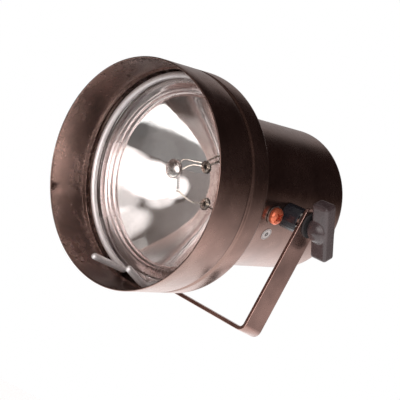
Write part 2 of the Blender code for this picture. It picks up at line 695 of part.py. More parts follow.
def make_gland(can):
    """Cable gland in the rear wall: threaded body with a hexagon collar, cap and lock nut."""
    place = Matrix.Translation((0, 0, GLAND_HEIGHT))
    wall_out = at(HOUSING_END) + GAP
    wall_in = at(HOUSING_END - HOUSING_WALL) - GAP
    thread_end = wall_in - GLAND_THREAD_IN
    collar_middle = wall_out + GLAND_COLLAR / 2
    collar_end = wall_out + GLAND_COLLAR
    neck = GLAND_THREAD_RADIUS - 0.0010
    body_end = collar_end + 0.7 * GLAND_CAP_LENGTH
    outline = [(GLAND_BORE_RADIUS, body_end), (neck, body_end), (neck, collar_middle)]
    outline += [(GLAND_THREAD_RADIUS, collar_middle), (GLAND_THREAD_RADIUS, thread_end)]
    outline += [(GLAND_BORE_RADIUS, thread_end)]
    body = lathe("gland_body", outline, MEDIUM)
    collar = nut("gland_collar", GLAND_FLATS, GLAND_COLLAR, GLAND_BORE_RADIUS + 0.0005)
    collar.data.transform(Matrix.Translation((0, collar_end, 0)))
    boolean(body, tool(collar, place, can), "UNION")
    piece(body, "gland_body", "black_plastic", can, place)
    cap_start = collar_end + GAP
    cap_end = cap_start + GLAND_CAP_LENGTH
    cap_radius = GLAND_FLATS / 2 - 0.0004
    cap_bore = neck + GAP
    outline = [(GLAND_BORE_RADIUS, cap_end), (GLAND_BORE_RADIUS + 0.0012, cap_end)]
    outline += arc((cap_radius - 0.0032, cap_end - 0.0036), 0.0032, pi / 2, 0, 5)
    outline += [(cap_radius, cap_start), (cap_bore, cap_start)]
    outline += [(cap_bore, body_end + GAP), (GLAND_BORE_RADIUS, body_end + GAP)]
    cap = lathe("gland_cap", outline, MEDIUM)
    piece(cap, "gland_cap", "black_plastic", can, place)
    locknut = nut("gland_locknut", GLAND_FLATS, GLAND_LOCKNUT_HEIGHT, GLAND_THREAD_RADIUS + GAP)
    locknut.data.transform(Matrix.Translation((0, wall_in, 0)))
    piece(locknut, "gland_locknut", "black_plastic", can, place)


# Transformer

CORE_REAR = HOUSING_END - HOUSING_WALL - GAP
CORE_FRONT = CORE_REAR - CORE_LENGTH
CORE_MIDDLE = (CORE_REAR + CORE_FRONT) / 2
WINDOW_LENGTH = CORE_LENGTH - 2 * CORE_LEG
FLANGE_X = CORE_WIDTH / 2 - CORE_LEG - GAP
FLANGE_Z = CORE_STACK / 2 + CORE_LEG
WINDING_X = FLANGE_X - 0.0005
WINDING_Z = FLANGE_Z - 0.0007
FOOT_MIDDLE = CORE_WIDTH / 2 + GAP + BRACKET_THICKNESS / 2 + BRACKET_FOOT / 2 + 0.0004


def rear_screw_places():
    """Screws in the rear wall: two hold the transformer's feet, one the terminal block."""
    return [(FOOT_MIDDLE, 0), (-FOOT_MIDDLE, 0), (0, BLOCK_HEIGHT)]


def make_transformer(can):
    """Laminated core, bobbin on its middle leg, taped winding and the strap that holds it."""
    middle = at(CORE_MIDDLE)
    core = box("core", (CORE_WIDTH, CORE_LENGTH, CORE_STACK), (0, middle, 0))
    for i, x in enumerate((-1.5 * CORE_LEG, 1.5 * CORE_LEG)):
        window = box(f"window_{i}", (CORE_LEG, WINDOW_LENGTH, 2 * CORE_STACK), (x, middle, 0))
        boolean(core, tool(window, None, can), "DIFFERENCE")
    piece(core, "transformer_core", "laminations", can)
    bore = (CORE_LEG + GAP, CORE_STACK / 2 + GAP)
    sleeve = (bore[0] + BOBBIN_WALL, bore[1] + BOBBIN_WALL)
    length = WINDOW_LENGTH - 2 * GAP
    bobbin = box("bobbin", (2 * FLANGE_X, length, 2 * FLANGE_Z), (0, middle, 0))
    waist = box("waist", (4 * FLANGE_X, length - 2 * BOBBIN_WALL, 4 * FLANGE_Z), (0, middle, 0))
    kept = box("kept", (2 * sleeve[0], 2 * length, 2 * sleeve[1]), (0, middle, 0))
    boolean(waist, tool(kept, None, can), "DIFFERENCE")
    boolean(bobbin, tool(waist, None, can), "DIFFERENCE")
    leg = box("leg", (2 * bore[0], 2 * length, 2 * bore[1]), (0, middle, 0))
    boolean(bobbin, tool(leg, None, can), "DIFFERENCE")
    piece(bobbin, "transformer_bobbin", "bobbin_plastic", can)
    turns = length - 2 * BOBBIN_WALL - 2 * GAP
    winding = settle(bevel(box("winding", (2 * WINDING_X, turns, 2 * WINDING_Z), (0, middle, 0)), 0.003, 3))
    hollow = box("hollow", (2 * (sleeve[0] + GAP), 2 * turns, 2 * (sleeve[1] + GAP)), (0, middle, 0))
    boolean(winding, tool(hollow, None, can), "DIFFERENCE")
    piece(winding, "transformer_winding", "winding_tape", can)
    make_bracket(can)


def make_bracket(can):
    """Strap over the core with a foot at each end, screwed to the rear wall."""
    inner = CORE_WIDTH / 2 + GAP
    outer = inner + BRACKET_THICKNESS
    foot = outer + BRACKET_FOOT
    front = at(CORE_FRONT) - GAP
    rear = at(CORE_REAR)
    right = [(outer, front - BRACKET_THICKNESS), (outer, rear - BRACKET_THICKNESS)]
    right += [(foot, rear - BRACKET_THICKNESS), (foot, rear), (inner, rear), (inner, front)]
    left = [(-x, y) for x, y in reversed(right)]
    strap = prism("strap_shape", right + left, BRACKET_WIDTH)
    for i, (x, z) in enumerate(rear_screw_places()[:2]):
        hole = lathe(f"foot_hole_{i}", rod_outline(REAR_SCREW_RADIUS + GAP, rear - 0.004, rear + 0.004), TINY)
        boolean(strap, tool(hole, Matrix.Translation((x, 0, z)), can), "DIFFERENCE")
    piece(strap, "transformer_bracket", "zinc", can)


def copies(shape, name, finish, can, places):
    """The same small fastener at several places, each its own piece with one shared mesh."""
    for number, place in enumerate(places, 1):
        copy = bpy.data.objects.new(name, shape.data)
        piece(copy, f"{name}_{number}", finish, can, place)
    bpy.data.objects.remove(shape, do_unlink=True)


def make_rear_fasteners(can):
    """Pan head screws from outside the rear wall, with their nuts inside."""
    wall = at(HOUSING_END) + GAP
    top = wall + REAR_HEAD_HEIGHT
    tip = wall - REAR_SCREW_LENGTH
    outline = [(0, top), (0.75 * REAR_HEAD_RADIUS, top - 0.0003), (REAR_HEAD_RADIUS, top - 0.0010)]
    outline += [(REAR_HEAD_RADIUS, wall), (REAR_SCREW_RADIUS, wall), (REAR_SCREW_RADIUS, tip), (0, tip)]
    places = [Matrix.Translation((x, 0, z)) for x, z in rear_screw_places()]
    copies(lathe("rear_screw", outline, COARSE), "rear_screw", "zinc", can, places)
    rear_nut = nut("rear_nut", REAR_NUT_FLATS, REAR_NUT_HEIGHT, REAR_SCREW_RADIUS + GAP)
    rear_nut.data.transform(Matrix.Rotation(pi / 6, 4, "Y"))
    seat = at(CORE_REAR) - BRACKET_THICKNESS - GAP
    places = [Matrix.Translation((x, seat, z)) for x, z in rear_screw_places()[:2]]
    copies(rear_nut, "rear_nut", "zinc", can, places)


def make_terminal_block(can):
    """Two-way block on the rear wall, with a clamp screw over each way."""
    rear = at(CORE_REAR)
    front = rear - BLOCK_LENGTH
    size = (BLOCK_WIDTH, BLOCK_LENGTH, BLOCK_THICKNESS)
    block = settle(bevel(box("block", size, (0, (rear + front) / 2, BLOCK_HEIGHT)), 0.0008))
    fixing = lathe("block_fixing", rod_outline(REAR_SCREW_RADIUS + GAP, rear - 0.008, rear + 0.004), TINY)
    boolean(block, tool(fixing, Matrix.Translation((0, 0, BLOCK_HEIGHT)), can), "DIFFERENCE")
    screw_radius = 0.0016
    top = BLOCK_HEIGHT + BLOCK_THICKNESS / 2
    middle = (rear + front) / 2
    shafts = []
    for i, x in enumerate((-POLE_OFFSET, POLE_OFFSET)):
        entry = lathe(f"entry_{i}", rod_outline(POLE_RADIUS, front - 0.002, front + 0.0085), TINY)
        boolean(block, tool(entry, Matrix.Translation((x, 0, BLOCK_HEIGHT)), can), "DIFFERENCE")
        well = lathe(f"well_{i}", rod_outline(screw_radius + GAP, 0.0026, 0.0100), TINY)
        frame = Matrix.Translation((x, middle, BLOCK_HEIGHT)) @ Matrix.Rotation(pi / 2, 4, "X")
        boolean(block, tool(well, frame, can), "DIFFERENCE")
        shafts.append(Matrix.Translation((x, middle, 0)) @ Matrix.Rotation(pi / 2, 4, "X"))
    piece(block, "terminal_block", "block_plastic", can)
    outline = rod_outline(screw_radius, BLOCK_HEIGHT + 0.0029, top - 0.0003)
    copies(lathe("terminal_screw", outline, TINY), "terminal_screw", "brass", can, shafts)


# Lamp

FLANGE_FRONT = LENS_BACK + GAP
MIRROR_APEX = FLANGE_FRONT + MIRROR_RADIUS ** 2 / (4 * MIRROR_FOCUS)
FOCUS_DEPTH = MIRROR_APEX - MIRROR_FOCUS


def mirror_points(offset, rim, pieces=7):
    """The mirror's parabola, or the glass's back at a square offset, from the apex to its rim."""
    points = []
    for i in range(pieces + 1):
        radius = rim * i / pieces
        depth = MIRROR_APEX - radius ** 2 / (4 * MIRROR_FOCUS)
        slope = radius / (2 * MIRROR_FOCUS)
        scale = offset / sqrt(1 + slope ** 2)
        points.append((radius + scale * slope, depth + scale))
    return points


def ferrule_places():
    """X and Z of the two ferrules."""
    return {"a": around(FERRULE_OFFSET, FERRULE_ANGLE), "b": around(FERRULE_OFFSET, FERRULE_ANGLE + pi)}


def make_reflector(can):
    """Pressed glass reflector: silvered parabola, seating flange and two ferrule holes."""
    back = [(r, d) for r, d in mirror_points(GLASS_WALL, MIRROR_RADIUS - 0.0045) if d > LAMP_SEAT_DEPTH]
    reach = sqrt(4 * MIRROR_FOCUS * (MIRROR_APEX - LAMP_SEAT_DEPTH)) + 0.0034
    rim = LAMP_RADIUS
    chamfer = 0.0007
    outline = back + [(reach, LAMP_SEAT_DEPTH), (rim - chamfer, LAMP_SEAT_DEPTH)]
    outline += [(rim, LAMP_SEAT_DEPTH - chamfer), (rim, FLANGE_FRONT)]
    outline += mirror_points(0, MIRROR_RADIUS)[::-1]
    reflector = lathe("reflector", [(r, at(d)) for r, d in outline], FINE)
    for name, (x, z) in ferrule_places().items():
        start, end = at(MIRROR_APEX - 0.010), at(MIRROR_APEX + 0.010)
        hole = lathe("ferrule_hole_" + name, rod_outline(FERRULE_HOLE_RADIUS, start, end), COARSE)
        boolean(reflector, tool(hole, Matrix.Translation((x, 0, z)), can), "DIFFERENCE")
    piece(reflector, "lamp_reflector", "mirror", can)


def make_lens(can):
    """Clear front glass: flat seating edge, a raised ring and a shallow dome."""
    dome = 0.0017
    front = [(0, LENS_FRONT - dome)]
    front += [(r, LENS_FRONT - dome * (1 - (r / 0.0475) ** 2)) for r in (0.020, 0.036)]
    front += [(0.0475, LENS_FRONT), (0.0490, LENS_FRONT - 0.0009), (0.0515, LENS_FRONT - 0.0009)]
    front += [(0.0530, LENS_FRONT)]
    front += [(LAMP_RADIUS - 0.0006, LENS_FRONT), (LAMP_RADIUS, LENS_FRONT + 0.0006)]
    back = [(0, LENS_BACK - dome)]
    back += [(r, LENS_BACK - dome * (1 - (r / 0.0500) ** 2)) for r in (0.022, 0.038)]
    back += [(0.0500, LENS_BACK), (LAMP_RADIUS, LENS_BACK)]
    outline = [(r, at(d)) for r, d in back + front[::-1]]
    piece(lathe("lens", outline, FINE), "lamp_lens", "lamp_glass", can)


def make_ferrules(can):
    """Metal ferrules sealed in the glass, each with a screw terminal behind."""
    glass_back = MIRROR_APEX + GLASS_WALL
    boss_start = glass_back + 0.0005
    boss_end = boss_start + 0.0058
    for name, (x, z) in ferrule_places().items():
        face = MIRROR_APEX - (FERRULE_OFFSET ** 2) / (4 * MIRROR_FOCUS) - 0.0006
        collar = FERRULE_HOLE_RADIUS - GAP
        hole = POST_RADIUS + 0.0009
        bore = TERMINAL_SCREW_RADIUS + GAP
        outline = [(bore, at(boss_end)), (0.0034, at(boss_end)), (0.0034, at(boss_start + 0.0022))]
        outline += [(0.0052, at(boss_start + 0.0018)), (0.0052, at(boss_start)), (collar, at(boss_start))]
        outline += [(collar, at(face)), (hole, at(face - 0.0003)), (hole, at(glass_back))]
        outline += [(bore, at(glass_back))]
        place = Matrix.Translation((x, 0, z))
        piece(lathe("ferrule", outline, TINY), "lamp_ferrule_" + name, "nickel", can, place)
    tag_start = boss_end + GAP
    outward_angle = {"a": FERRULE_ANGLE, "b": FERRULE_ANGLE + pi}
    for name, (x, z) in ferrule_places().items():
        tag = ring_tag("lamp_tag_" + name, TERMINAL_SCREW_RADIUS + GAP)
        turn = Matrix.Rotation(pi / 2 - outward_angle[name], 4, "Y")
        place = Matrix.Translation((x, at(tag_start + TAG_THICKNESS / 2), z)) @ turn
        piece(tag, "lamp_tag_" + name, "nickel", can, place)
    head_start = tag_start + TAG_THICKNESS + GAP
    head_end = head_start + 0.0026
    tip = boss_start + 0.0012
    outline = [(0, head_end), (0.0030, head_end - 0.0002), (0.0038, head_end - 0.0009), (0.0038, head_start)]
    outline += [(TERMINAL_SCREW_RADIUS, head_start), (TERMINAL_SCREW_RADIUS, tip), (0, tip)]
    outline = [(r, at(d)) for r, d in outline]
    places = [Matrix.Translation((x, 0, z)) for x, z in ferrule_places().values()]
    copies(lathe("lamp_screw", outline, COARSE), "lamp_terminal_screw", "brass", can, places)
    return tag_start + TAG_THICKNESS / 2


def make_burner(can):
    """Support posts from the ferrules, the coiled filament at the focus and its shield."""
    focus = at(FOCUS_DEPTH)
    half = FILAMENT_LENGTH / 2
    end_x, end_z = around(half + POST_RADIUS + 2 * GAP, FERRULE_ANGLE)
    start = at(MIRROR_APEX + GLASS_WALL - 0.0006)
    for name, sign in (("a", 1), ("b", -1)):
        x, z = ferrule_places()[name]
        route = [(x, start, z), (x, start - 0.004, z), (x, focus + 0.012, z)]
        route += [(x * 0.8, focus + 0.006, z * 0.8), (sign * end_x, focus + 0.001, sign * end_z)]
        route += [(sign * end_x, focus - 0.0012, sign * end_z)]
        post = wire("post", smooth_route(route, 2), POST_RADIUS, 1)
        piece(post, "filament_post_" + name, "nickel", can)
    points = []
    steps = 6 * FILAMENT_TURNS
    for i in range(steps + 1):
        angle = i * tau / 6
        along = -half + FILAMENT_LENGTH * i / steps
        points.append((FILAMENT_COIL_RADIUS * cos(angle), FILAMENT_COIL_RADIUS * sin(angle), along))
    coil = wire("coil", points, FILAMENT_WIRE_RADIUS, 0)
    place = Matrix.Translation((0, focus, 0)) @ Matrix.Rotation(pi / 2 - FERRULE_ANGLE, 4, "Y")
    piece(coil, "filament", "tungsten", can, place)
    make_shield(can)


def make_shield(can):
    """Domed shield cup in front of the filament's upper end, on its own stiff wire."""
    x, z = around(SHIELD_OFFSET, FERRULE_ANGLE + radians(16))
    wall = 0.0004
    dome = SHIELD_DOME
    front = [(SHIELD_RADIUS * s, dome * (1 - sqrt(1 - s ** 2))) for s in (0, 0.35, 0.65, 0.85, 0.96, 1)]
    outline = [(r, d + wall) for r, d in front] + [(r, d) for r, d in front[::-1]]
    cup = lathe("shield", outline, COARSE)
    place = Matrix.Translation((x, at(SHIELD_DEPTH) - dome, z))
    piece(cup, "filament_shield", "nickel", can, place)
    foot_x, foot_z = around(FERRULE_OFFSET + 0.0022, FERRULE_ANGLE + radians(4))
    foot = at(MIRROR_APEX - (FERRULE_OFFSET + 0.0022) ** 2 / (4 * MIRROR_FOCUS)) - 3 * GAP
    route = [(foot_x, foot, foot_z), (foot_x, foot - 0.008, foot_z)]
    route += [(foot_x, at(SHIELD_DEPTH) + 0.007, foot_z)]
    route += [(0.5 * (foot_x + x), at(SHIELD_DEPTH) + 0.003, 0.5 * (foot_z + z))]
    route += [(x, at(SHIELD_DEPTH) - dome + wall + 2 * GAP + POST_RADIUS, z)]
    piece(wire("shield_wire", smooth_route(route, 3), POST_RADIUS * 0.8, 1), "shield_post", "nickel", can)


# Retaining ring

def make_ring(can):
    """Sprung wire ring in front of the lamp; both ends turn forward, the right one with a knee."""
    start = RING_GAP_ANGLE + RING_GAP_HALF
    end = RING_GAP_ANGLE + tau - RING_GAP_HALF
    bend = RING_BEND_RADIUS
    turn = bend / RING_RADIUS
    points = []
    pieces = 40
    for i in range(pieces + 1):
        angle = start + turn + (end - start - 2 * turn) * i / pieces
        x, z = around(RING_RADIUS, angle)
        points.append(Vector((x, at(RING_DEPTH), z)))
    fingers = []
    x, z = around(RING_RADIUS, RING_KNEE_ANGLE)
    knees = {"right": [Vector((x, at(RING_KNEE_DEPTH), z))], "left": []}
    for side_name, angle, sign in (("right", start, 1), ("left", end, -1)):
        x, z = around(*RING_TIPS[side_name])
        way = knees[side_name] + [Vector((x, at(RING_TIP_DEPTH), z))]
        x, z = around(RING_RADIUS, angle)
        root = Vector((x, at(RING_DEPTH), z))
        along = (way[0] - root).normalized()
        finger = []
        side = Vector((-sin(angle), 0, cos(angle))) * sign
        for i in range(1, 5):
            share = i / 5 * pi / 2
            finger.append(root + side * bend * (1 - sin(share)) + along * bend * (1 - cos(share)))
        finger += smooth_route([root + along * bend] + way, 3)
        fingers.append(finger)
    points = fingers[0][::-1] + points + fingers[1]
    piece(wire("ring", points, RING_WIRE_RADIUS, 2), "retaining_ring", "spring_steel", can)


# Leads

def make_leads(can, lamp_tags, earth_tag):
    """Insulated leads from the transformer to the lamp and the block, and the earth bond."""
    end = TAG_EYE_RADIUS + 0.0010 + TAG_BARREL_LENGTH + GAP
    coil = at(CORE_MIDDLE)
    on_top = WINDING_Z + 2 * GAP + LEAD_RADIUS
    depth = at(lamp_tags) - TAG_BARREL_LIFT
    for name, sign in (("a", 1), ("b", -1)):
        route = [(*around(FERRULE_OFFSET + end + out, FERRULE_ANGLE), depth + back)
                 for out, back in ((0, 0), (0.0020, 0), (0.0050, 0.0020))]
        route = [(x, y, z) for x, z, y in route]
        route += [(-0.0100, depth + 0.0090, 0.0285), (-0.0085, coil - 0.0160, 0.0265)]
        route += [(-0.0075, coil - 0.0110, 0.0232), (-0.0070, coil - 0.0060, on_top)]
        route += [(-0.0070, coil - 0.0030, on_top)]
        route = [(sign * px, py, sign * pz) for px, py, pz in route]
        lead = wire("lamp_lead", smooth_route(route, 3), LEAD_RADIUS, 1)
        piece(lead, "lamp_lead_" + name, "lead_white", can)
    entry = at(CORE_REAR) - BLOCK_LENGTH
    for name, sign, finish in (("a", 1, "lead_red"), ("b", -1, "lead_blue")):
        route = [(POLE_OFFSET, coil + 0.0010, on_top), (POLE_OFFSET, coil + 0.0045, on_top)]
        route += [(POLE_OFFSET, entry - 0.0040, BLOCK_HEIGHT - 0.0012), (POLE_OFFSET, entry, BLOCK_HEIGHT)]
        route += [(POLE_OFFSET, entry + 0.0040, BLOCK_HEIGHT)]
        route = [(sign * px, py, pz) for px, py, pz in route]
        lead = wire("primary_lead", smooth_route(route, 3), LEAD_RADIUS, 1)
        piece(lead, "primary_lead_" + name, finish, can)
    bracket = CORE_WIDTH / 2 + GAP + BRACKET_THICKNESS + 2 * GAP + LEAD_RADIUS
    start = at(EARTH_DEPTH) - end
    inside = earth_tag - TAG_BARREL_LIFT
    route = [(inside, start, EARTH_HEIGHT), (inside, start - 0.0020, EARTH_HEIGHT)]
    route += [(inside - 0.0020, start - 0.0040, EARTH_HEIGHT - 0.0040)]
    route += [(inside - 0.0060, start + 0.0020, EARTH_HEIGHT - 0.0130)]
    route += [(0.0335, at(EARTH_DEPTH), -0.0170), (0.0320, at(CORE_FRONT) - 0.0020, -0.0100)]
    route += [(bracket, at(CORE_FRONT) + 0.0060, -0.0050), (bracket, at(CORE_FRONT) + 0.0120, -0.0040)]
    piece(wire("earth_lead", smooth_route(route, 3), LEAD_RADIUS, 1), "earth_lead", "lead_green", can)


def main():
    """Build the whole fixture at rest."""
    can = bpy.data.objects.new("can_axis", None)
    can.location = (0, 0, YOKE_DROP)
    can.rotation_euler = (NOSE_DOWN, 0, 0)
    can.empty_display_size = 0.02
    PARTS.objects.link(can)
    make_yoke()
    make_barrel(can)
    make_housing(can)
    for side in SIDES:
        make_spacer(side, can)
        make_lock_washer(side, can)
        make_washer(side, can)
        make_knob(side, can)
        make_stud(side, can)
        make_pivot_nut(side, can)
    earth_tag = make_earth_screw(can)
    make_gland(can)
    make_transformer(can)
    make_rear_fasteners(can)
    make_terminal_block(can)
    make_reflector(can)
    make_lens(can)
    lamp_tags = make_ferrules(can)
    make_burner(can)
    make_ring(can)
    make_leads(can, lamp_tags, earth_tag)


empty_scene()
PARTS = new_collection("par_can")
CUTTERS = new_collection("cutters")
main()
bpy.context.view_layer.update()
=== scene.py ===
# Looks of the par can: finishes, fine meshes of the pieces that show, studio and camera.
# Units are metres. Shapes of the can are made in its local frame, where +Y runs from the front rim
# to the rear and the origin is on the tilt axis. Each finished mesh is then moved into the frame's
# own coordinates, which are the ones that the materials read.

import json
from math import acos, atan2, cos, pi, radians, sin, sqrt, tau

import bmesh
import bpy
from mathutils import Matrix, Vector


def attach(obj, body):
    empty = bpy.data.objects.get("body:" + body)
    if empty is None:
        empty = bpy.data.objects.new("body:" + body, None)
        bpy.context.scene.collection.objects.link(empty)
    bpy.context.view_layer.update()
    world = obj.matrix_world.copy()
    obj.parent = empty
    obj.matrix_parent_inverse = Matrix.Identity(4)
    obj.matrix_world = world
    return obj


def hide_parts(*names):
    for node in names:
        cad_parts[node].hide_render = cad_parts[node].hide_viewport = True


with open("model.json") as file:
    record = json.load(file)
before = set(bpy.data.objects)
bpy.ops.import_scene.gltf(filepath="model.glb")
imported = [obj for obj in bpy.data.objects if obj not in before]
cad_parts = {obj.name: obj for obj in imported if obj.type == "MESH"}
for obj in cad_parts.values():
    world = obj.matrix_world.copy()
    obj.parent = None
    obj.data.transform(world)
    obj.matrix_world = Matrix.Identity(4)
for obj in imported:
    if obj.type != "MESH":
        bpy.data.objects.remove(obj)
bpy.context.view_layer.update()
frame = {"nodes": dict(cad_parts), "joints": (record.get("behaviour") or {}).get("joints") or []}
NODES = frame["nodes"]
JOINTS = {joint["name"]: joint for joint in frame["joints"]}

# The can's place, from its tilt joint and the ring's way out
PIVOT = Vector(JOINTS["can_tilt"]["pos_m"])
FORWARD = Vector(JOINTS["ring_slide"]["axis"]).normalized()
NOSE_DOWN = atan2(-FORWARD.z, -FORWARD.y)
CAN = Matrix.Translation(PIVOT) @ Matrix.Rotation(NOSE_DOWN, 4, "X")
PIVOT_DEPTH = 0.0841

# Camera, solved from the barrel's rim, bead and pivots in the photograph
CAMERA_PLACE = Vector((0.34638, -0.44151, 0.01394))
CAMERA_AIM = Vector((0.01546, -0.03910, 0.05050))
CAMERA_ROLL = radians(28.77)
CAMERA_LENS = 88.57
CAMERA_SENSOR = 36.0
CAMERA_CLIP = 0.01

# Front barrel
BARREL_RADIUS = 0.0600
BARREL_LENGTH = 0.0400
BARREL_WALL = 0.0009
BARREL_CORNER = 0.0028
BARREL_LIP_RADIUS = 0.0545
BARREL_OUTER_STATIONS = (0.015, 0.008)
BARREL_INNER_STATIONS = (0.0014, 0.0018, 0.008, 0.015, 0.0220)
BEAD_DEPTH = 0.0252
BEAD_WIDTH = 0.0044
BEAD_HEIGHT = 0.0009
SEAM_ANGLE = radians(-156.5)
SEAM_LAP = 0.0055
SEAM_STEP = 0.00028
SEAM_RUN = (0.0015, 0.0225)
NOTCH_ANGLES = (radians(4.5), radians(9.5))
NOTCH_DEPTH = 0.0011
NOTCH_EDGE = 0.0012
HAIR_ANGLE = radians(0.12)

# Rear housing
HOUSING_FRONT_RADIUS = 0.0434
HOUSING_REAR_RADIUS = 0.0424
HOUSING_END = 0.1402
HOUSING_CORNER = 0.0068
HOUSING_WALL = 0.0008
HOUSING_BEND = 0.0022
HOUSING_CONE_RADIUS = 0.0536
HOUSING_CONE_END = 0.0490
HOUSING_CONE_START = 0.0006
CLEARANCE = 0.0003

# Lamp
LAMP_RADIUS = 0.0566
LAMP_SEAT_DEPTH = BARREL_LENGTH - BARREL_WALL - HOUSING_WALL - 2 * CLEARANCE
LAMP_EDGE = 0.0008
LENS_FRONT = LAMP_SEAT_DEPTH - 0.0064
LENS_BACK = LENS_FRONT + 0.0030
LENS_DOME = 0.0017
LENS_DOME_RADIUS = 0.0475
LENS_HOLLOW_RADIUS = 0.0500
FLANGE_FRONT = LENS_BACK + CLEARANCE
FLANGE_EDGE = 0.0003
MIRROR_RADIUS = 0.0524
MIRROR_FOCUS = 0.0240
MIRROR_APEX = FLANGE_FRONT + MIRROR_RADIUS ** 2 / (4 * MIRROR_FOCUS)
MIRROR_CORNER = ((0.0006, 0.0), (0.0001, 0.0002))
BOWL_SHOULDER = 0.0034
GLASS_WALL = 0.0022
RIBBED_RADIUS = 0.0467
RIB_PITCH = 0.0010
RIB_HEIGHT = 0.00022
FERRULE_OFFSET = 0.0102
FERRULE_ANGLE = radians(112)
FERRULE_HOLE_RADIUS = 0.0036
SHIELD_RADIUS = 0.0057
SHIELD_DEPTH = 0.0375
SHIELD_DOME = 0.0030
SHIELD_WALL = 0.0004
SHIELD_OFFSET = 0.0066
SHIELD_ANGLE = FERRULE_ANGLE + radians(16)

# Raised ring pressed into the front of the glass: radius, and height in front of its seat
LENS_RING = (
    (0.0480, 0.0001),
    (0.0490, 0.0008),
    (0.0502, 0.0009),
    (0.0515, 0.0008),
    (0.0525, 0.0002),
    (0.0532, 0.0),
)

# Retaining ring
RING_WIRE_RADIUS = 0.0018
RING_RADIUS = 0.0559
RING_GAP_ANGLE = radians(-85.1)
RING_GAP_HALF = radians(12.4)
RING_TIP_DEPTH = 0.0036
RING_TIPS = {"right": (0.0476, radians(-70.6)), "left": (0.0500, radians(-102))}
RING_KNEE_DEPTH = 0.0165
RING_KNEE_ANGLE = radians(-71)
RING_BEND_RADIUS = 0.0040

# Yoke
YOKE_OUTER_WIDTH = 0.1164
STRAP_WIDTH = 0.0160
STRAP_THICKNESS = 0.0020
STRAP_BEND = 0.0045
ARM_CORNER = 0.0035
STRAP_EDGE = 0.0003
STUD_PLAY = 0.0005
MOUNT_HOLE_RADIUS = 0.00425

# Pivots
STUD_RADIUS = 0.0030
STUD_START = 0.0350
THREAD_ROOT_RADIUS = 0.0025
THREAD_PITCH = 0.0010
THREAD_CREST = (0.40, 0.55)
KNOB_HUB_RADIUS = 0.0074
KNOB_NECK_RADIUS = 0.0044
KNOB_START = 0.0600
KNOB_HUB_LENGTH = 0.0118
KNOB_BORE_DEPTH = 0.0080
KNOB_WING_SPAN = 0.0330
KNOB_WING_THICKNESS = 0.0080
KNOB_WING_DEPTH = 0.0104
KNOB_WING_OVERHANG = 0.0009
KNOB_WING_EDGE = 0.0016
KNOB_BLEND_CELL = 0.00035
KNOB_BLEND_PASSES = 7
KNOB_ANGLES = {"right": radians(27), "left": radians(-38)}
SIDES = {"right": 1, "left": -1}

# Sticker beside the earth screw, with a dot and a border printed on it
STICKER_ANGLE = radians(-16.6)
STICKER_DEPTH = 0.0728
STICKER_RADIUS = 0.0035
STICKER_SEAT_RADIUS = HOUSING_FRONT_RADIUS - 0.0003
STICKER_LIFT = 0.00012
STICKER_THICKNESS = 0.00015
STICKER_HOLE_RADIUS = 0.0002
INK_LIFT = 0.00028
INK_THICKNESS = 0.00004
INK_DOT = (0.0004, 0.0012)
INK_BORDER = (0.0029, 0.0031)

# Cable gland's place in the rear wall
GLAND_HEIGHT = -0.0262
GLAND_THREAD_RADIUS = 0.0060

# How far a drill passes the wall, and how much a cutter is wider than what it cuts
DRILL_PASS = 0.006
BOWL_DRILL_PASS = 0.010
KNOB_DRILL_PASS = 0.002
CUTTER_MARGIN = 1.001

# Facets, smallest radius off the axis, angle of a sharp edge, and size of a bevelled solid's flats
ROUND = 192
KNOB_ROUND = 96
SHIELD_ROUND = 64
SMALL_ROUND = 48
ON_AXIS = 1e-7
SHARP_ANGLE = radians(35)
FLAT_FACE_AREA = 1e-5

# Height of the finest relief in a finish
FINE_RELIEF = 0.0001


# Geometry helpers

def at(depth):
    """Place along the can's axis of a depth behind the front rim."""
    return depth - PIVOT_DEPTH


def around(radius, angle):
    """X and Z of a point on a circle round the can's axis."""
    return radius * cos(angle), radius * sin(angle)


def arc(centre, radius, start, end, pieces):
    """Points of an arc in a plane, both ends included."""
    angles = (start + (end - start) * i / pieces for i in range(pieces + 1))
    return [(centre[0] + radius * cos(a), centre[1] + radius * sin(a)) for a in angles]


def fillet(points, radius, pieces):
    """Round the bends of an open outline, each up to two fifths of its shorter side."""
    rounded = [points[0]]
    for previous, bend, following in zip(points, points[1:], points[2:]):
        corner = Vector(bend)
        before = Vector(previous) - corner
        after = Vector(following) - corner
        reach = min(radius, 0.4 * before.length, 0.4 * after.length)
        start = corner + before.normalized() * reach
        end = corner + after.normalized() * reach
        for step in range(pieces + 1):
            t = step / pieces
            place = start * (1 - t) ** 2 + corner * 2 * t * (1 - t) + end * t ** 2
            rounded.append(tuple(place))
    return rounded + [points[-1]]


def smooth_route(points, pieces):
    """Catmull-Rom curve through the route's own points, in so many pieces a span."""
    nodes = [Vector(p) for p in points]
    nodes = [2 * nodes[0] - nodes[1]] + nodes + [2 * nodes[-1] - nodes[-2]]
    route = []
    for i in range(1, len(nodes) - 2):
        before, start, end, after = nodes[i - 1:i + 3]
        for step in range(pieces):
            t = step / pieces
            linear = (end - before) * t
            square = (2 * before - 5 * start + 4 * end - after) * t ** 2
            cube = (3 * start - before - 3 * end + after) * t ** 3
            route.append(start + 0.5 * (linear + square + cube))
    route.append(nodes[-2])
    return route


# Mesh helpers

def shade(mesh, sharp_angle):
    """Smooth shading with sharp edges by angle."""
    mesh.shade_smooth()
    mesh.set_sharp_from_angle(angle=sharp_angle)


def mesh_object(name, bm, sharp_angle=SHARP_ANGLE):
    """An object from a bmesh, which is used up."""
    bmesh.ops.recalc_face_normals(bm, faces=bm.faces)
    mesh = bpy.data.meshes.new(name)
    bm.to_mesh(mesh)
    bm.free()
    shade(mesh, sharp_angle)
    obj = bpy.data.objects.new(name, mesh)
    bpy.context.scene.collection.objects.link(obj)
    return obj


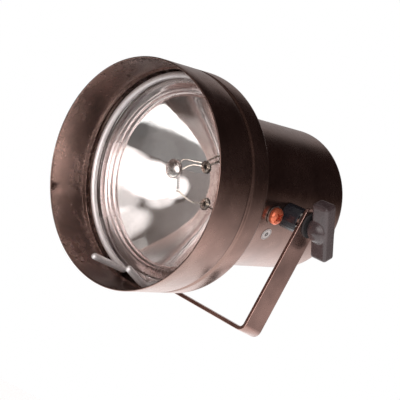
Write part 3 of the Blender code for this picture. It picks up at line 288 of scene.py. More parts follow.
def turned(name, outline, facets=ROUND, shift=None, extra_angles=()):
    """A turned solid round Y. An outline that starts off the axis closes on itself.

    shift(radius, along, angle) may move a point of the wall.
    """
    angles = sorted([i * tau / facets - pi for i in range(facets)] + list(extra_angles))
    bm = bmesh.new()
    rings = []
    for radius, along in outline:
        if radius < ON_AXIS:
            rings.append([bm.verts.new((0, along, 0))])
            continue
        ring = []
        for angle in angles:
            r, y = shift(radius, along, angle) if shift else (radius, along)
            ring.append(bm.verts.new((r * cos(angle), y, r * sin(angle))))
        rings.append(ring)
    pairs = list(zip(rings, rings[1:]))
    if len(rings[0]) > 1:
        pairs.append((rings[-1], rings[0]))
    count = len(angles)
    for first, second in pairs:
        for i in range(count):
            j = (i + 1) % count
            corners = (first[i % len(first)], first[j % len(first)],
                       second[j % len(second)], second[i % len(second)])
            corners = list(dict.fromkeys(corners))
            if len(corners) > 2:
                bm.faces.new(corners)
    return mesh_object(name, bm)


def tube(name, points, radius, sides):
    """A round wire along the points, with domed ends."""
    first = (points[0] - points[1]).normalized()
    last = (points[-1] - points[-2]).normalized()
    domes = [(sin(a), cos(a)) for a in (radians(25), radians(50), radians(72), radians(86))]
    stations = [(points[0] + first * radius * (out - 1), wide) for out, wide in reversed(domes)]
    stations.append((points[0] - first * radius, 1.0))
    stations += [(p, 1.0) for p in points[1:-1]]
    stations.append((points[-1] - last * radius, 1.0))
    stations += [(points[-1] + last * radius * (out - 1), wide) for out, wide in domes]
    places = [p for p, _ in stations]
    normal = None
    bm = bmesh.new()
    rings = []
    for i, (place, wide) in enumerate(stations):
        ahead = places[min(i + 1, len(places) - 1)] - places[max(i - 1, 0)]
        ahead.normalize()
        if normal is None:
            normal = ahead.orthogonal().normalized()
        normal = (normal - ahead * normal.dot(ahead)).normalized()
        other = ahead.cross(normal)
        ring = [place + (normal * cos(a) + other * sin(a)) * radius * wide
                for a in (k * tau / sides for k in range(sides))]
        rings.append([bm.verts.new(p) for p in ring])
    for first, second in zip(rings, rings[1:]):
        for k in range(sides):
            m = (k + 1) % sides
            bm.faces.new((first[k], first[m], second[m], second[k]))
    bm.faces.new(rings[0][::-1])
    bm.faces.new(rings[-1])
    return mesh_object(name, bm, radians(60))


def slab(name, outline, thickness):
    """A flat outline in XY, thickened evenly both ways along Z."""
    bm = bmesh.new()
    low = [bm.verts.new((x, y, -thickness / 2)) for x, y in outline]
    high = [bm.verts.new((x, y, thickness / 2)) for x, y in outline]
    bm.faces.new(low[::-1])
    bm.faces.new(high)
    count = len(outline)
    for i in range(count):
        j = (i + 1) % count
        bm.faces.new((low[i], low[j], high[j], high[i]))
    return mesh_object(name, bm)


def block(name, size, centre):
    """A plain box, used as stock for a shape."""
    bm = bmesh.new()
    bmesh.ops.create_cube(bm, size=1)
    bmesh.ops.scale(bm, vec=size, verts=bm.verts)
    bmesh.ops.translate(bm, vec=centre, verts=bm.verts)
    return mesh_object(name, bm)


def apply_modifiers(obj, sharp_angle=SHARP_ANGLE):
    """Turn an object's modifiers into its mesh."""
    bpy.context.view_layer.update()
    evaluated = obj.evaluated_get(bpy.context.evaluated_depsgraph_get())
    mesh = bpy.data.meshes.new_from_object(evaluated)
    obj.modifiers.clear()
    obj.data = mesh
    shade(mesh, sharp_angle)


def combine(obj, other, operation):
    """Boolean of two solids in the same frame, applied; the second one is used up."""
    modifier = obj.modifiers.new(operation.title(), "BOOLEAN")
    modifier.operation = operation
    modifier.solver = "EXACT"
    modifier.object = other
    apply_modifiers(obj)
    bpy.data.objects.remove(other, do_unlink=True)


def drill(obj, radius, frame_of_drill, start, end):
    """Cut a round hole along +Y of a frame, from a start to an end."""
    outline = [(0, start), (radius, start), (radius, end), (0, end)]
    cutter = turned("drill", outline, SMALL_ROUND)
    cutter.data.transform(frame_of_drill)
    combine(obj, cutter, "DIFFERENCE")


def bevel(obj, width, segments):
    """Round the edges of a solid, keeping the flats flat."""
    modifier = obj.modifiers.new("Bevel", "BEVEL")
    modifier.width = width
    modifier.segments = segments
    modifier.limit_method = "ANGLE"
    modifier.angle_limit = radians(30)
    apply_modifiers(obj, radians(50))
    for face in obj.data.polygons:
        face.use_smooth = face.area < FLAT_FACE_AREA


def outward(side):
    """Turns a shape made round +Y so that +Y points out of the can along the tilt axis."""
    return Matrix.Rotation(-SIDES[side] * pi / 2, 4, "Z")


def finish_piece(obj, material, body, nodes=(), place=CAN):
    """Give a piece its finish, place and body, and let it stand for its CAD nodes."""
    obj.data.materials.clear()
    obj.data.materials.append(material)
    obj.data.transform(place)
    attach(obj, body)
    if nodes:
        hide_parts(*nodes)


# Material helpers

def math_node(tree, operation, first, second):
    """Math node of two sockets or numbers."""
    node = tree.nodes.new("ShaderNodeMath")
    node.operation = operation
    for socket, value in zip(node.inputs, (first, second)):
        if isinstance(value, (int, float)):
            socket.default_value = value
        else:
            tree.links.new(value, socket)
    return node.outputs["Value"]


def map_node(tree, value, low, high, new_low, new_high, interpolation="SMOOTHSTEP"):
    """A value carried from one range to another, and held at the ends."""
    node = tree.nodes.new("ShaderNodeMapRange")
    node.interpolation_type = interpolation
    tree.links.new(value, node.inputs["Value"])
    numbers = {"From Min": low, "From Max": high, "To Min": new_low, "To Max": new_high}
    for socket, number in numbers.items():
        node.inputs[socket].default_value = number
    return node.outputs["Result"]


def scaled(colour, share, lift=0.0):
    """A colour made darker or lighter."""
    return tuple(min(1.0, c * share + lift) for c in colour)


class Finish:
    """A node material being built round one Principled shader."""

    def __init__(self, name, colour, roughness, metallic=0.0):
        self.material = bpy.data.materials.new(name)
        self.material.use_nodes = True
        self.tree = self.material.node_tree
        self.shader = self.tree.nodes["Principled BSDF"]
        self.set("Base Color", (*colour, 1.0))
        self.set("Roughness", roughness)
        self.set("Metallic", metallic)
        self.coords = self.tree.nodes.new("ShaderNodeTexCoord").outputs["Object"]
        self.normal = None

    def set(self, socket, value):
        self.shader.inputs[socket].default_value = value

    def link(self, out, into):
        self.tree.links.new(out, into)

    def noise(self, scale, detail, roughness=0.55):
        """Cloudy noise, at so many features a metre."""
        node = self.tree.nodes.new("ShaderNodeTexNoise")
        node.inputs["Scale"].default_value = scale
        node.inputs["Detail"].default_value = detail
        node.inputs["Roughness"].default_value = roughness
        self.link(self.coords, node.inputs["Vector"])
        return node.outputs["Fac"]

    def spots(self, scale):
        """Distance to the nearest of scattered points, in shares of their spacing."""
        node = self.tree.nodes.new("ShaderNodeTexVoronoi")
        node.inputs["Scale"].default_value = scale
        self.link(self.coords, node.inputs["Vector"])
        return node.outputs["Distance"]

    def math(self, operation, first, second):
        return math_node(self.tree, operation, first, second)

    def remap(self, value, low, high, new_low=0.0, new_high=1.0):
        return map_node(self.tree, value, low, high, new_low, new_high, "LINEAR")

    def uneven(self, scale, detail, low, high):
        """Noise that wanders between two values."""
        return self.remap(self.noise(scale, detail), 0.3, 0.7, low, high)

    def mix(self, factor, first, second):
        """Colour between two colours or sockets."""
        node = self.tree.nodes.new("ShaderNodeMix")
        node.data_type = "RGBA"
        self.link(factor, node.inputs["Factor"])
        for socket, value in ((node.inputs["A"], first), (node.inputs["B"], second)):
            if isinstance(value, tuple):
                socket.default_value = (*value, 1.0)
            else:
                self.link(value, socket)
        return node.outputs["Result"]

    def separate(self):
        """The three coordinates on their own."""
        node = self.tree.nodes.new("ShaderNodeSeparateXYZ")
        self.link(self.coords, node.inputs["Vector"])
        return node.outputs["X"], node.outputs["Y"], node.outputs["Z"]

    def axis_distance(self):
        """Distance from the can's own axis."""
        vector = self.coords
        for operation, other in (("SUBTRACT", PIVOT), ("CROSS_PRODUCT", FORWARD)):
            node = self.tree.nodes.new("ShaderNodeVectorMath")
            node.operation = operation
            self.link(vector, node.inputs[0])
            node.inputs[1].default_value = other
            vector = node.outputs["Vector"]
        length = self.tree.nodes.new("ShaderNodeVectorMath")
        length.operation = "LENGTH"
        self.link(vector, length.inputs[0])
        return length.outputs["Value"]

    def edges(self, low, high):
        """One on convex edges, from the mesh's own pointiness."""
        node = self.tree.nodes.new("ShaderNodeNewGeometry")
        return self.remap(node.outputs["Pointiness"], low, high)

    def paint(self, colour=None, roughness=None):
        """Link the colour and the roughness, where they vary."""
        if colour is not None:
            self.link(colour, self.shader.inputs["Base Color"])
        if roughness is not None:
            self.link(roughness, self.shader.inputs["Roughness"])

    def bump(self, height, strength, distance=FINE_RELIEF):
        """Add relief to the surface."""
        node = self.tree.nodes.new("ShaderNodeBump")
        node.inputs["Strength"].default_value = strength
        node.inputs["Distance"].default_value = distance
        self.link(height, node.inputs["Height"])
        if self.normal is not None:
            self.link(self.normal, node.inputs["Normal"])
        self.normal = node.outputs["Normal"]
        self.link(self.normal, self.shader.inputs["Normal"])


# Finishes

def satin_paint(name, colour):
    """Satin stove paint on sheet steel: faint ripple and cloudiness, worn edges, dust."""
    roughness = 0.26
    worn_colour = (0.30, 0.22, 0.20)
    dust_colour = (0.34, 0.30, 0.27)
    f = Finish(name, colour, roughness, metallic=0.93)
    cloud = f.noise(38, 4)
    base = f.mix(f.remap(cloud, 0.32, 0.68), scaled(colour, 0.78), scaled(colour, 1.35, 0.006))
    patchy = f.remap(f.noise(420, 3), 0.35, 0.65, 0.1, 0.5)
    base = f.mix(f.math("MULTIPLY", f.edges(0.56, 0.68), patchy), base, worn_colour)
    specks = f.remap(f.spots(330), 0.055, 0.03)
    base = f.mix(f.math("MULTIPLY", specks, 0.06), base, dust_colour)
    grain = f.uneven(300, 1, roughness - 0.02, roughness + 0.02)
    f.paint(base, f.math("ADD", grain, f.remap(cloud, 0.3, 0.7, -0.03, 0.03)))
    f.bump(f.noise(210, 1), 0.02, 0.0004)
    return f.material


def moulded_plastic(name, colour, roughness=0.42, texture=0.12):
    """Moulded plastic: faint flow clouding, fine grain and paler rubbed edges."""
    f = Finish(name, colour, roughness)
    f.set("IOR", 1.5)
    base = f.mix(f.remap(f.noise(120, 3), 0.35, 0.65), colour, scaled(colour, 1.25, 0.004))
    rubbed = f.math("MULTIPLY", f.edges(0.53, 0.63), 0.6)
    base = f.mix(rubbed, base, scaled(colour, 1.8, 0.02))
    f.paint(base, f.uneven(700, 3, roughness - 0.05, roughness + 0.08))
    f.bump(f.noise(3200, 2), texture)
    return f.material


def plated_steel(name, colour=(0.62, 0.61, 0.58), roughness=0.30):
    """Zinc plated steel: small crystals and faint stains."""
    f = Finish(name, colour, roughness, metallic=1.0)
    base = f.mix(f.remap(f.noise(160, 4), 0.4, 0.7), colour, scaled(colour, 0.72))
    f.paint(base, f.remap(f.spots(1500), 0.0, 0.6, roughness - 0.08, roughness + 0.12))
    f.bump(f.noise(1800, 3), 0.12)
    return f.material


def drawn_wire(name):
    """Bright spring wire with faint draw marks."""
    colour = (0.97, 0.94, 0.93)
    roughness = 0.44
    f = Finish(name, colour, roughness, metallic=0.65)
    marks = f.noise(500, 4, roughness=0.7)
    f.paint(f.mix(f.remap(marks, 0.5, 0.75), colour, scaled(colour, 0.82)),
            f.remap(marks, 0.3, 0.7, roughness - 0.05, roughness + 0.10))
    f.bump(f.noise(2400, 2), 0.05)
    return f.material


def silvered_glass(name):
    """Aluminium deposited on pressed glass: slight ripple, a soft bloom, and a ribbed rim whose colour
    is painted shade in the ribs' troughs and painted highlight on their crests.
    """
    f = Finish(name, (0.90, 0.89, 0.88), 0.05, metallic=1.0)
    bloom = f.noise(70, 3)
    silver = f.mix(f.remap(bloom, 0.45, 0.75), (0.93, 0.915, 0.91), (0.80, 0.775, 0.76))
    radius = f.axis_distance()
    fade = 0.0003
    rim = f.remap(radius, RIBBED_RADIUS - fade, RIBBED_RADIUS + fade)
    # The rim's colour follows the ribs' relief: darker and pinker in the troughs as painted shade,
    # paler on the crests as painted highlight.
    across = f.math("PINGPONG", f.math("SUBTRACT", radius, RIBBED_RADIUS), RIB_PITCH)
    rib_light_and_shade = f.math("MULTIPLY", rim, f.remap(across, 0.0, RIB_PITCH))
    ribbed = f.mix(rib_light_and_shade, (0.62, 0.50, 0.48), (0.90, 0.82, 0.81))
    haze = f.remap(bloom, 0.35, 0.75, 0.035, 0.11)
    f.paint(f.mix(rim, silver, ribbed), f.math("ADD", haze, f.math("MULTIPLY", rim, 0.20)))
    f.bump(f.noise(95, 2), 0.10, 0.0006)
    return f.material


def clear_glass(name):
    """Pressed clear glass with faint waviness."""
    f = Finish(name, (0.985, 0.99, 0.985), 0.0)
    f.set("Transmission Weight", 1.0)
    f.set("IOR", 1.46)
    f.bump(f.noise(60, 2), 0.05, 0.0005)
    return f.material


def nickel(name, colour=(0.66, 0.62, 0.56), heat=0.3):
    """Nickel plate, a little browned by the filament's heat."""
    f = Finish(name, colour, 0.22, metallic=1.0)
    browned = f.math("MULTIPLY", f.remap(f.noise(240, 3), 0.4, 0.7), heat)
    f.paint(f.mix(browned, colour, (0.34, 0.20, 0.12)), f.uneven(900, 3, 0.16, 0.32))
    f.bump(f.noise(2200, 2), 0.08)
    return f.material


def tungsten(name):
    """Grey coiled tungsten wire."""
    f = Finish(name, (0.30, 0.29, 0.28), 0.45, metallic=1.0)
    f.paint(roughness=f.uneven(3000, 2, 0.35, 0.6))
    return f.material


def copper_plate(name):
    """Copper-coloured passivated screw with patches of grime."""
    f = Finish(name, (0.80, 0.20, 0.10), 0.30, metallic=0.55)
    grime = f.math("MULTIPLY", f.remap(f.noise(700, 3), 0.45, 0.7), 0.55)
    f.paint(f.mix(grime, (0.86, 0.22, 0.11), (0.33, 0.09, 0.05)), f.uneven(1400, 3, 0.24, 0.42))
    f.bump(f.noise(1900, 2), 0.12)
    return f.material


def laminations(name):
    """Stack of thin steel stampings: a dark line every half millimetre along Z."""
    half_sheet = 0.00025
    f = Finish(name, (0.26, 0.25, 0.25), 0.45, metallic=0.8)
    _, _, z = f.separate()
    gap = f.remap(f.math("PINGPONG", z, half_sheet), 0.00002, 0.00006, 1.0, 0.0)
    steel = f.mix(f.remap(f.noise(90, 4), 0.4, 0.65), (0.27, 0.26, 0.26), (0.30, 0.20, 0.14))
    f.paint(f.mix(gap, steel, (0.03, 0.03, 0.03)))
    f.bump(gap, 0.3)
    return f.material


def winding_tape(name):
    """Yellow polyester tape in overlapping laps round the winding."""
    half_lap = 0.0045
    f = Finish(name, (0.62, 0.42, 0.07), 0.28)
    _, y, _ = f.separate()
    lap = f.remap(f.math("PINGPONG", y, half_lap), 0.0, 0.0003, 1.0, 0.0)
    tape = f.mix(f.remap(f.noise(150, 3), 0.35, 0.7), (0.66, 0.45, 0.08), (0.52, 0.33, 0.05))
    f.paint(f.mix(lap, tape, (0.30, 0.17, 0.03)))
    f.bump(f.noise(260, 3), 0.25, 0.0004)
    return f.material


def brass(name):
    """Plain brass, slightly tarnished."""
    f = Finish(name, (0.72, 0.53, 0.24), 0.28, metallic=1.0)
    tarnish = f.remap(f.noise(300, 4), 0.42, 0.7)
    f.paint(f.mix(tarnish, (0.76, 0.57, 0.27), (0.42, 0.28, 0.12)), f.uneven(1200, 3, 0.2, 0.42))
    return f.material


def wire_sleeve(name, colour):
    """Lead insulation: soft sheen with faint mottling."""
    f = Finish(name, colour, 0.48)
    f.paint(f.mix(f.remap(f.noise(420, 3), 0.4, 0.7), colour, scaled(colour, 0.72)))
    f.bump(f.noise(1600, 2), 0.15)
    return f.material


def sticker_paper(name):
    """White sticker paper, slightly greyed."""
    f = Finish(name, (0.90, 0.88, 0.87), 0.50)
    f.paint(f.mix(f.remap(f.noise(900, 3), 0.4, 0.7), (0.92, 0.90, 0.89), (0.80, 0.76, 0.74)))
    f.bump(f.noise(2600, 3), 0.15)
    return f.material


# Front barrel and rear housing

def bead_outline(radius, direction):
    """The rolled bead pressed into the barrel's wall."""
    steps = 18
    points = []
    for i in range(steps + 1):
        share = i / steps
        depth = BEAD_DEPTH + direction * BEAD_WIDTH * (0.5 - share)
        points.append((radius - BEAD_HEIGHT * (1 - cos(share * tau)) / 2, at(depth)))
    return points


def barrel_wall(radius, along, angle):
    """Lap of the rolled sheet's seam inside the wall, and the stake notch in the rear edge."""
    depth = along + PIVOT_DEPTH
    beyond = (angle - SEAM_ANGLE) * BARREL_RADIUS
    on_lap = 0 <= beyond <= SEAM_LAP and SEAM_RUN[0] < depth < SEAM_RUN[1]
    if on_lap and radius < BARREL_RADIUS - 0.5 * BARREL_WALL:
        radius -= SEAM_STEP * (1 - beyond / SEAM_LAP)
    if NOTCH_ANGLES[0] <= angle <= NOTCH_ANGLES[1] and depth > BARREL_LENGTH - NOTCH_EDGE:
        along -= NOTCH_DEPTH
    return radius, along


def make_barrel(paint):
    """Rolled sheet barrel with a rounded front edge, a bead and a turned-in rear lip."""
    outer = BARREL_RADIUS
    inner = BARREL_RADIUS - BARREL_WALL
    corner = (outer - BARREL_CORNER, at(BARREL_LENGTH - BARREL_CORNER))
    edge = ((outer + inner) / 2, at(BARREL_WALL / 2))
    outline = [(BARREL_LIP_RADIUS, at(BARREL_LENGTH))]
    outline += arc(corner, BARREL_CORNER, pi / 2, 0, 10)
    outline += bead_outline(outer, 1)
    outline += [(outer, at(depth)) for depth in BARREL_OUTER_STATIONS]
    outline += arc(edge, BARREL_WALL / 2, 0, -pi, 6)
    outline += [(inner, at(depth)) for depth in BARREL_INNER_STATIONS]
    outline += bead_outline(inner, -1)
    outline += arc(corner, BARREL_CORNER - BARREL_WALL, 0, pi / 2, 8)
    outline += [(BARREL_LIP_RADIUS, at(BARREL_LENGTH - BARREL_WALL))]
    seam = [SEAM_ANGLE - HAIR_ANGLE, SEAM_ANGLE + HAIR_ANGLE]
    notch = [angle + off for angle in NOTCH_ANGLES for off in (-HAIR_ANGLE * 3, HAIR_ANGLE * 3)]
    barrel = turned("front_barrel_shell", outline, shift=barrel_wall, extra_angles=seam + notch)
    finish_piece(barrel, paint, "can", ["front_barrel"])


def housing_outline(inset, corner_steps):
    """One side of the drawn housing's wall, from the rear centre to its front flange."""
    centre = (HOUSING_REAR_RADIUS - HOUSING_CORNER, at(HOUSING_END - HOUSING_CORNER))
    cone = Vector((HOUSING_CONE_RADIUS - HOUSING_FRONT_RADIUS, LAMP_SEAT_DEPTH - HOUSING_CONE_END))
    slope = inset * (cone.length + cone.y) / cone.x
    flange = LAMP_SEAT_DEPTH + CLEARANCE + HOUSING_WALL - inset
    bends = [(HOUSING_REAR_RADIUS - inset, at(HOUSING_END - HOUSING_CORNER)),
             (HOUSING_FRONT_RADIUS - inset, at(HOUSING_CONE_END - slope)),
             (HOUSING_CONE_RADIUS - inset, at(flange + HOUSING_CONE_START)),
             (BARREL_RADIUS - BARREL_CORNER, at(flange))]
    outline = [(0, at(HOUSING_END - inset))]
    outline += arc(centre, HOUSING_CORNER - inset, pi / 2, 0, corner_steps)[:-1]
    return outline + fillet(bends, HOUSING_BEND, 6)


def make_housing(paint):
    """Drawn cup with its flange, cone and tapered body, and the cable's hole in its rear wall."""
    outline = housing_outline(0, 14) + housing_outline(HOUSING_WALL, 8)[::-1]
    housing = turned("rear_housing_shell", outline)
    wall = at(HOUSING_END)
    gland = Matrix.Translation((0, 0, GLAND_HEIGHT))
    drill(housing, GLAND_THREAD_RADIUS + CLEARANCE, gland, wall - DRILL_PASS, wall + DRILL_PASS)
    finish_piece(housing, paint, "can", ["rear_housing"])


# Sticker

def make_patch(name, inner, outer, lift, thickness, material):
    """A thin ring that lies round the sticker's centre, bent to the housing."""
    bm = bmesh.new()
    rings = []
    steps = 32
    top = lift + thickness
    for reach, height in ((inner, lift), (inner, top), (outer, top), (outer, lift)):
        ring = []
        for i in range(steps):
            a = i * tau / steps
            turn = STICKER_ANGLE + reach * cos(a) / STICKER_SEAT_RADIUS
            x, z = around(STICKER_SEAT_RADIUS + height, turn)
            ring.append(bm.verts.new((x, at(STICKER_DEPTH) + reach * sin(a), z)))
        rings.append(ring)
    for first, second in zip(rings, rings[1:] + rings[:1]):
        for i in range(steps):
            j = (i + 1) % steps
            bm.faces.new((first[i], first[j], second[j], second[i]))
    finish_piece(mesh_object(name, bm), material, "can")


def make_sticker(paper, ink):
    """Round sticker lying on the housing, with a plain dot and border printed on it."""
    make_patch("round_sticker", STICKER_HOLE_RADIUS, STICKER_RADIUS, STICKER_LIFT,
               STICKER_THICKNESS, paper)
    make_patch("round_sticker_mark", *INK_DOT, INK_LIFT, INK_THICKNESS, ink)
    make_patch("round_sticker_border", *INK_BORDER, INK_LIFT, INK_THICKNESS, ink)


# Yoke

def make_yoke(paint):
    """Bent flat strap with softened edges, rounded arm ends, pivot holes and a bolt hole."""
    half = YOKE_OUTER_WIDTH / 2
    top = PIVOT.z + STRAP_WIDTH
    centre = (half - STRAP_BEND, STRAP_BEND)
    right = arc(centre, STRAP_BEND, -pi / 2, 0, 14) + [(half, top), (half - STRAP_THICKNESS, top)]
    right += arc(centre, STRAP_BEND - STRAP_THICKNESS, 0, -pi / 2, 10)
    left = [(-x, z) for x, z in reversed(right)]
    strap = slab("yoke_strap", right + left, STRAP_WIDTH)
    strap.data.transform(Matrix.Rotation(pi / 2, 4, "X"))
    side = STRAP_WIDTH / 2
    flat = side - ARM_CORNER
    rounding = PIVOT.z + flat
    wide = side * CUTTER_MARGIN
    ends = [(-wide, -side), (wide, -side), (wide, rounding)]
    ends += arc((flat, rounding), ARM_CORNER, 0, pi / 2, 12)
    ends += arc((-flat, rounding), ARM_CORNER, pi / 2, pi, 12)
    ends += [(-wide, rounding)]
    shape = slab("arm_shape", ends, 2 * YOKE_OUTER_WIDTH)
    shape.data.transform(Matrix.Rotation(pi / 2, 4, "Z") @ Matrix.Rotation(pi / 2, 4, "X"))
    combine(strap, shape, "INTERSECT")
    pivot = Matrix.Translation(PIVOT) @ outward("right")
    drill(strap, STUD_RADIUS + STUD_PLAY, pivot, -2 * half, 2 * half)
    drill(strap, MOUNT_HOLE_RADIUS, Matrix.Rotation(pi / 2, 4, "X"), -STRAP_WIDTH, STRAP_WIDTH)
    bevel(strap, STRAP_EDGE, 2)
    finish_piece(strap, paint, "yoke", ["yoke_bracket"], Matrix.Identity(4))


# Knobs

def make_knob(side, plastic):
    """Moulded wing knob: ball-shaped hub and bar blended into one body, with soft edges."""
    end = KNOB_START + KNOB_HUB_LENGTH
    centre = (KNOB_START + end) / 2
    edge = acos(KNOB_NECK_RADIUS / KNOB_HUB_RADIUS)
    reach = KNOB_HUB_LENGTH / 2 / sin(edge)
    steps = 12
    angles = [edge * (1 - i / steps) for i in range(2 * steps + 1)]
    ball = [(KNOB_HUB_RADIUS * cos(a), centre + reach * sin(a)) for a in angles]
    hub = turned("wing_knob_body_" + side, [(0, end)] + ball + [(0, KNOB_START)], KNOB_ROUND)
    middle = end + KNOB_WING_OVERHANG - KNOB_WING_DEPTH / 2
    wing = block("wing", (KNOB_WING_THICKNESS, KNOB_WING_DEPTH, KNOB_WING_SPAN), (0, middle, 0))
    bevel(wing, KNOB_WING_EDGE, 5)
    combine(hub, wing, "UNION")
    remesh = hub.modifiers.new("Blend", "REMESH")
    remesh.mode = "VOXEL"
    remesh.voxel_size = KNOB_BLEND_CELL
    soften = hub.modifiers.new("Soften", "SMOOTH")
    soften.factor = 0.5
    soften.iterations = KNOB_BLEND_PASSES
    apply_modifiers(hub, radians(80))
    drill(hub, STUD_RADIUS + CLEARANCE, Matrix.Identity(4),
          KNOB_START - KNOB_DRILL_PASS, KNOB_START + KNOB_BORE_DEPTH)
    turn = Matrix.Rotation(KNOB_ANGLES[side], 4, "Y")
    finish_piece(hub, plastic, "knob_" + side, ["wing_knob_" + side], CAN @ outward(side) @ turn)


def make_stud(side, steel):
    """The stud's rolled thread, a skin over its CAD node from the knob to the nut."""
    end = KNOB_START + KNOB_BORE_DEPTH - CLEARANCE
    turns = int((end - STUD_START) / THREAD_PITCH)
    steps = 20
    low, high = THREAD_CREST
    profile = ((THREAD_ROOT_RADIUS, 0.0), (STUD_RADIUS, low), (STUD_RADIUS, high))
    bm = bmesh.new()
    rows = []
    for i in range(turns * steps + 1):
        angle = i * tau / steps
        y = STUD_START + THREAD_PITCH * i / steps
        rows.append([bm.verts.new((r * cos(angle), y + share * THREAD_PITCH, r * sin(angle)))
                     for r, share in profile])
    for i, row in enumerate(rows[:-1]):
        following = rows[i + 1]
        bm.faces.new((row[0], following[0], following[1], row[1]))
        bm.faces.new((row[1], following[1], following[2], row[2]))
        if i + steps < len(rows) - 1:
            above, beyond = rows[i + steps], rows[i + steps + 1]
            bm.faces.new((row[2], following[2], beyond[0], above[0]))
    thread = mesh_object("knob_stud_thread_" + side, bm)
    finish_piece(thread, steel, "knob_" + side, place=CAN @ outward(side))


# Retaining ring

def ring_finger(root, side, way):
    """Bend out of the ring's loop, then the route to the finger's tip."""
    bend = RING_BEND_RADIUS
    along = (way[0] - root).normalized()
    steps = 10
    finger = []
    for i in range(1, steps):
        share = i / steps * pi / 2
        finger.append(root + side * bend * (1 - sin(share)) + along * bend * (1 - cos(share)))
    return finger + smooth_route([root + along * bend] + way, 5)


def make_ring(steel):
    """Sprung wire ring whose ends turn forward as finger grips, the right one with a knee."""
    depth = LENS_FRONT - CLEARANCE - RING_WIRE_RADIUS
    start = RING_GAP_ANGLE + RING_GAP_HALF
    end = RING_GAP_ANGLE + tau - RING_GAP_HALF
    turn = RING_BEND_RADIUS / RING_RADIUS
    pieces = 150
    loop = []
    for i in range(pieces + 1):
        x, z = around(RING_RADIUS, start + turn + (end - start - 2 * turn) * i / pieces)
        loop.append(Vector((x, at(depth), z)))
    x, z = around(RING_RADIUS, RING_KNEE_ANGLE)
    knees = {"right": [Vector((x, at(RING_KNEE_DEPTH), z))], "left": []}
    fingers = []
    for side, angle in (("right", start), ("left", end)):
        x, z = around(*RING_TIPS[side])
        way = knees[side] + [Vector((x, at(RING_TIP_DEPTH), z))]
        x, z = around(RING_RADIUS, angle)
        along_loop = Vector((-sin(angle), 0, cos(angle))) * SIDES[side]
        fingers.append(ring_finger(Vector((x, at(depth), z)), along_loop, way))
    ring = tube("sprung_ring", fingers[0][::-1] + loop + fingers[1], RING_WIRE_RADIUS, 20)
    finish_piece(ring, steel, "ring", ["retaining_ring"])


# Lamp

def mirror_point(radius, offset=0.0):
    """A point on the mirror's parabola, or at a square offset behind it."""
    slope = radius / (2 * MIRROR_FOCUS)
    scale = offset / sqrt(1 + slope ** 2)
    return radius + scale * slope, MIRROR_APEX - radius ** 2 / (4 * MIRROR_FOCUS) + scale


def rib_height(radius):
    """Height of the rounded ribs pressed into the bowl's rim."""
    beyond = max(0.0, radius - RIBBED_RADIUS)
    return RIB_HEIGHT * (1 - cos(pi * beyond / RIB_PITCH)) / 2


def ferrule_places():
    """X and Z of the two ferrules."""
    return [around(FERRULE_OFFSET, FERRULE_ANGLE + turn) for turn in (0, pi)]


def glass_edge(depth, inward):
    """Rounded outer edge of the lamp's glass at a face; inward is +1 or -1 along the depth."""
    step = LAMP_EDGE / 4
    return [(LAMP_RADIUS - LAMP_EDGE, depth),
            (LAMP_RADIUS - step, depth + inward * step),
            (LAMP_RADIUS, depth + inward * LAMP_EDGE)]


def make_reflector(mirror):
    """Pressed glass bowl with a silvered parabola, a ribbed rim and ferrule holes."""
    back_steps, plain_steps, ribbed_steps = 24, 56, 40
    back = [mirror_point(MIRROR_RADIUS * i / back_steps, GLASS_WALL) for i in range(back_steps + 1)]
    outline = [point for point in back if point[1] > LAMP_SEAT_DEPTH]
    seat_radius = sqrt(4 * MIRROR_FOCUS * (MIRROR_APEX - LAMP_SEAT_DEPTH))
    outline.append((seat_radius + BOWL_SHOULDER, LAMP_SEAT_DEPTH))
    outline += glass_edge(LAMP_SEAT_DEPTH, -1)
    outline += [(LAMP_RADIUS, FLANGE_FRONT + FLANGE_EDGE), (LAMP_RADIUS - FLANGE_EDGE, FLANGE_FRONT)]
    outline += [(MIRROR_RADIUS + out, FLANGE_FRONT + down) for out, down in MIRROR_CORNER]
    radii = [RIBBED_RADIUS * i / plain_steps for i in range(plain_steps + 1)]
    ribbed = MIRROR_RADIUS - RIBBED_RADIUS
    radii += [RIBBED_RADIUS + ribbed * i / ribbed_steps for i in range(1, ribbed_steps)]
    outline += [mirror_point(radius, -rib_height(radius)) for radius in reversed(radii)]
    bowl = turned("lamp_bowl", [(r, at(d)) for r, d in outline])
    apex = at(MIRROR_APEX)
    for x, z in ferrule_places():
        place = Matrix.Translation((x, 0, z))
        drill(bowl, FERRULE_HOLE_RADIUS, place, apex - BOWL_DRILL_PASS, apex + BOWL_DRILL_PASS)
    finish_piece(bowl, mirror, "can", ["lamp_reflector"])


def dome_outline(radius, depth, pieces):
    """Shallow dome of the glass, from the axis out to its radius."""
    shares = [i / pieces for i in range(pieces + 1)]
    return [(radius * share, depth - LENS_DOME * (1 - share ** 2)) for share in shares]


def make_lens(glass):
    """Clear front glass: a flat seating edge, a raised ring and a shallow dome."""
    front = dome_outline(LENS_DOME_RADIUS, LENS_FRONT, 16)
    front += [(radius, LENS_FRONT - height) for radius, height in LENS_RING]
    front += glass_edge(LENS_FRONT, 1)
    back = dome_outline(LENS_HOLLOW_RADIUS, LENS_BACK, 12)
    back += [(LAMP_RADIUS - FLANGE_EDGE, LENS_BACK), (LAMP_RADIUS, LENS_BACK - FLANGE_EDGE)]
    outline = [(r, at(d)) for r, d in back + front[::-1]]
    finish_piece(turned("front_glass", outline), glass, "can", ["lamp_lens"])


def make_shield(metal):
    """Domed shield cup over the filament's upper end."""
    x, z = around(SHIELD_OFFSET, SHIELD_ANGLE)
    steps = 12
    angles = [i * pi / 2 / steps for i in range(steps + 1)]
    front = [(SHIELD_RADIUS * sin(a), SHIELD_DOME * (1 - cos(a))) for a in angles]
    outline = [(r, d + SHIELD_WALL) for r, d in front] + front[::-1]
    cup = turned("shield_cup", outline, SHIELD_ROUND)
    place = Matrix.Translation((x, at(SHIELD_DEPTH) - SHIELD_DOME, z))
    finish_piece(cup, metal, "can", ["filament_shield"], CAN @ place)


# CAD nodes that keep their own meshes

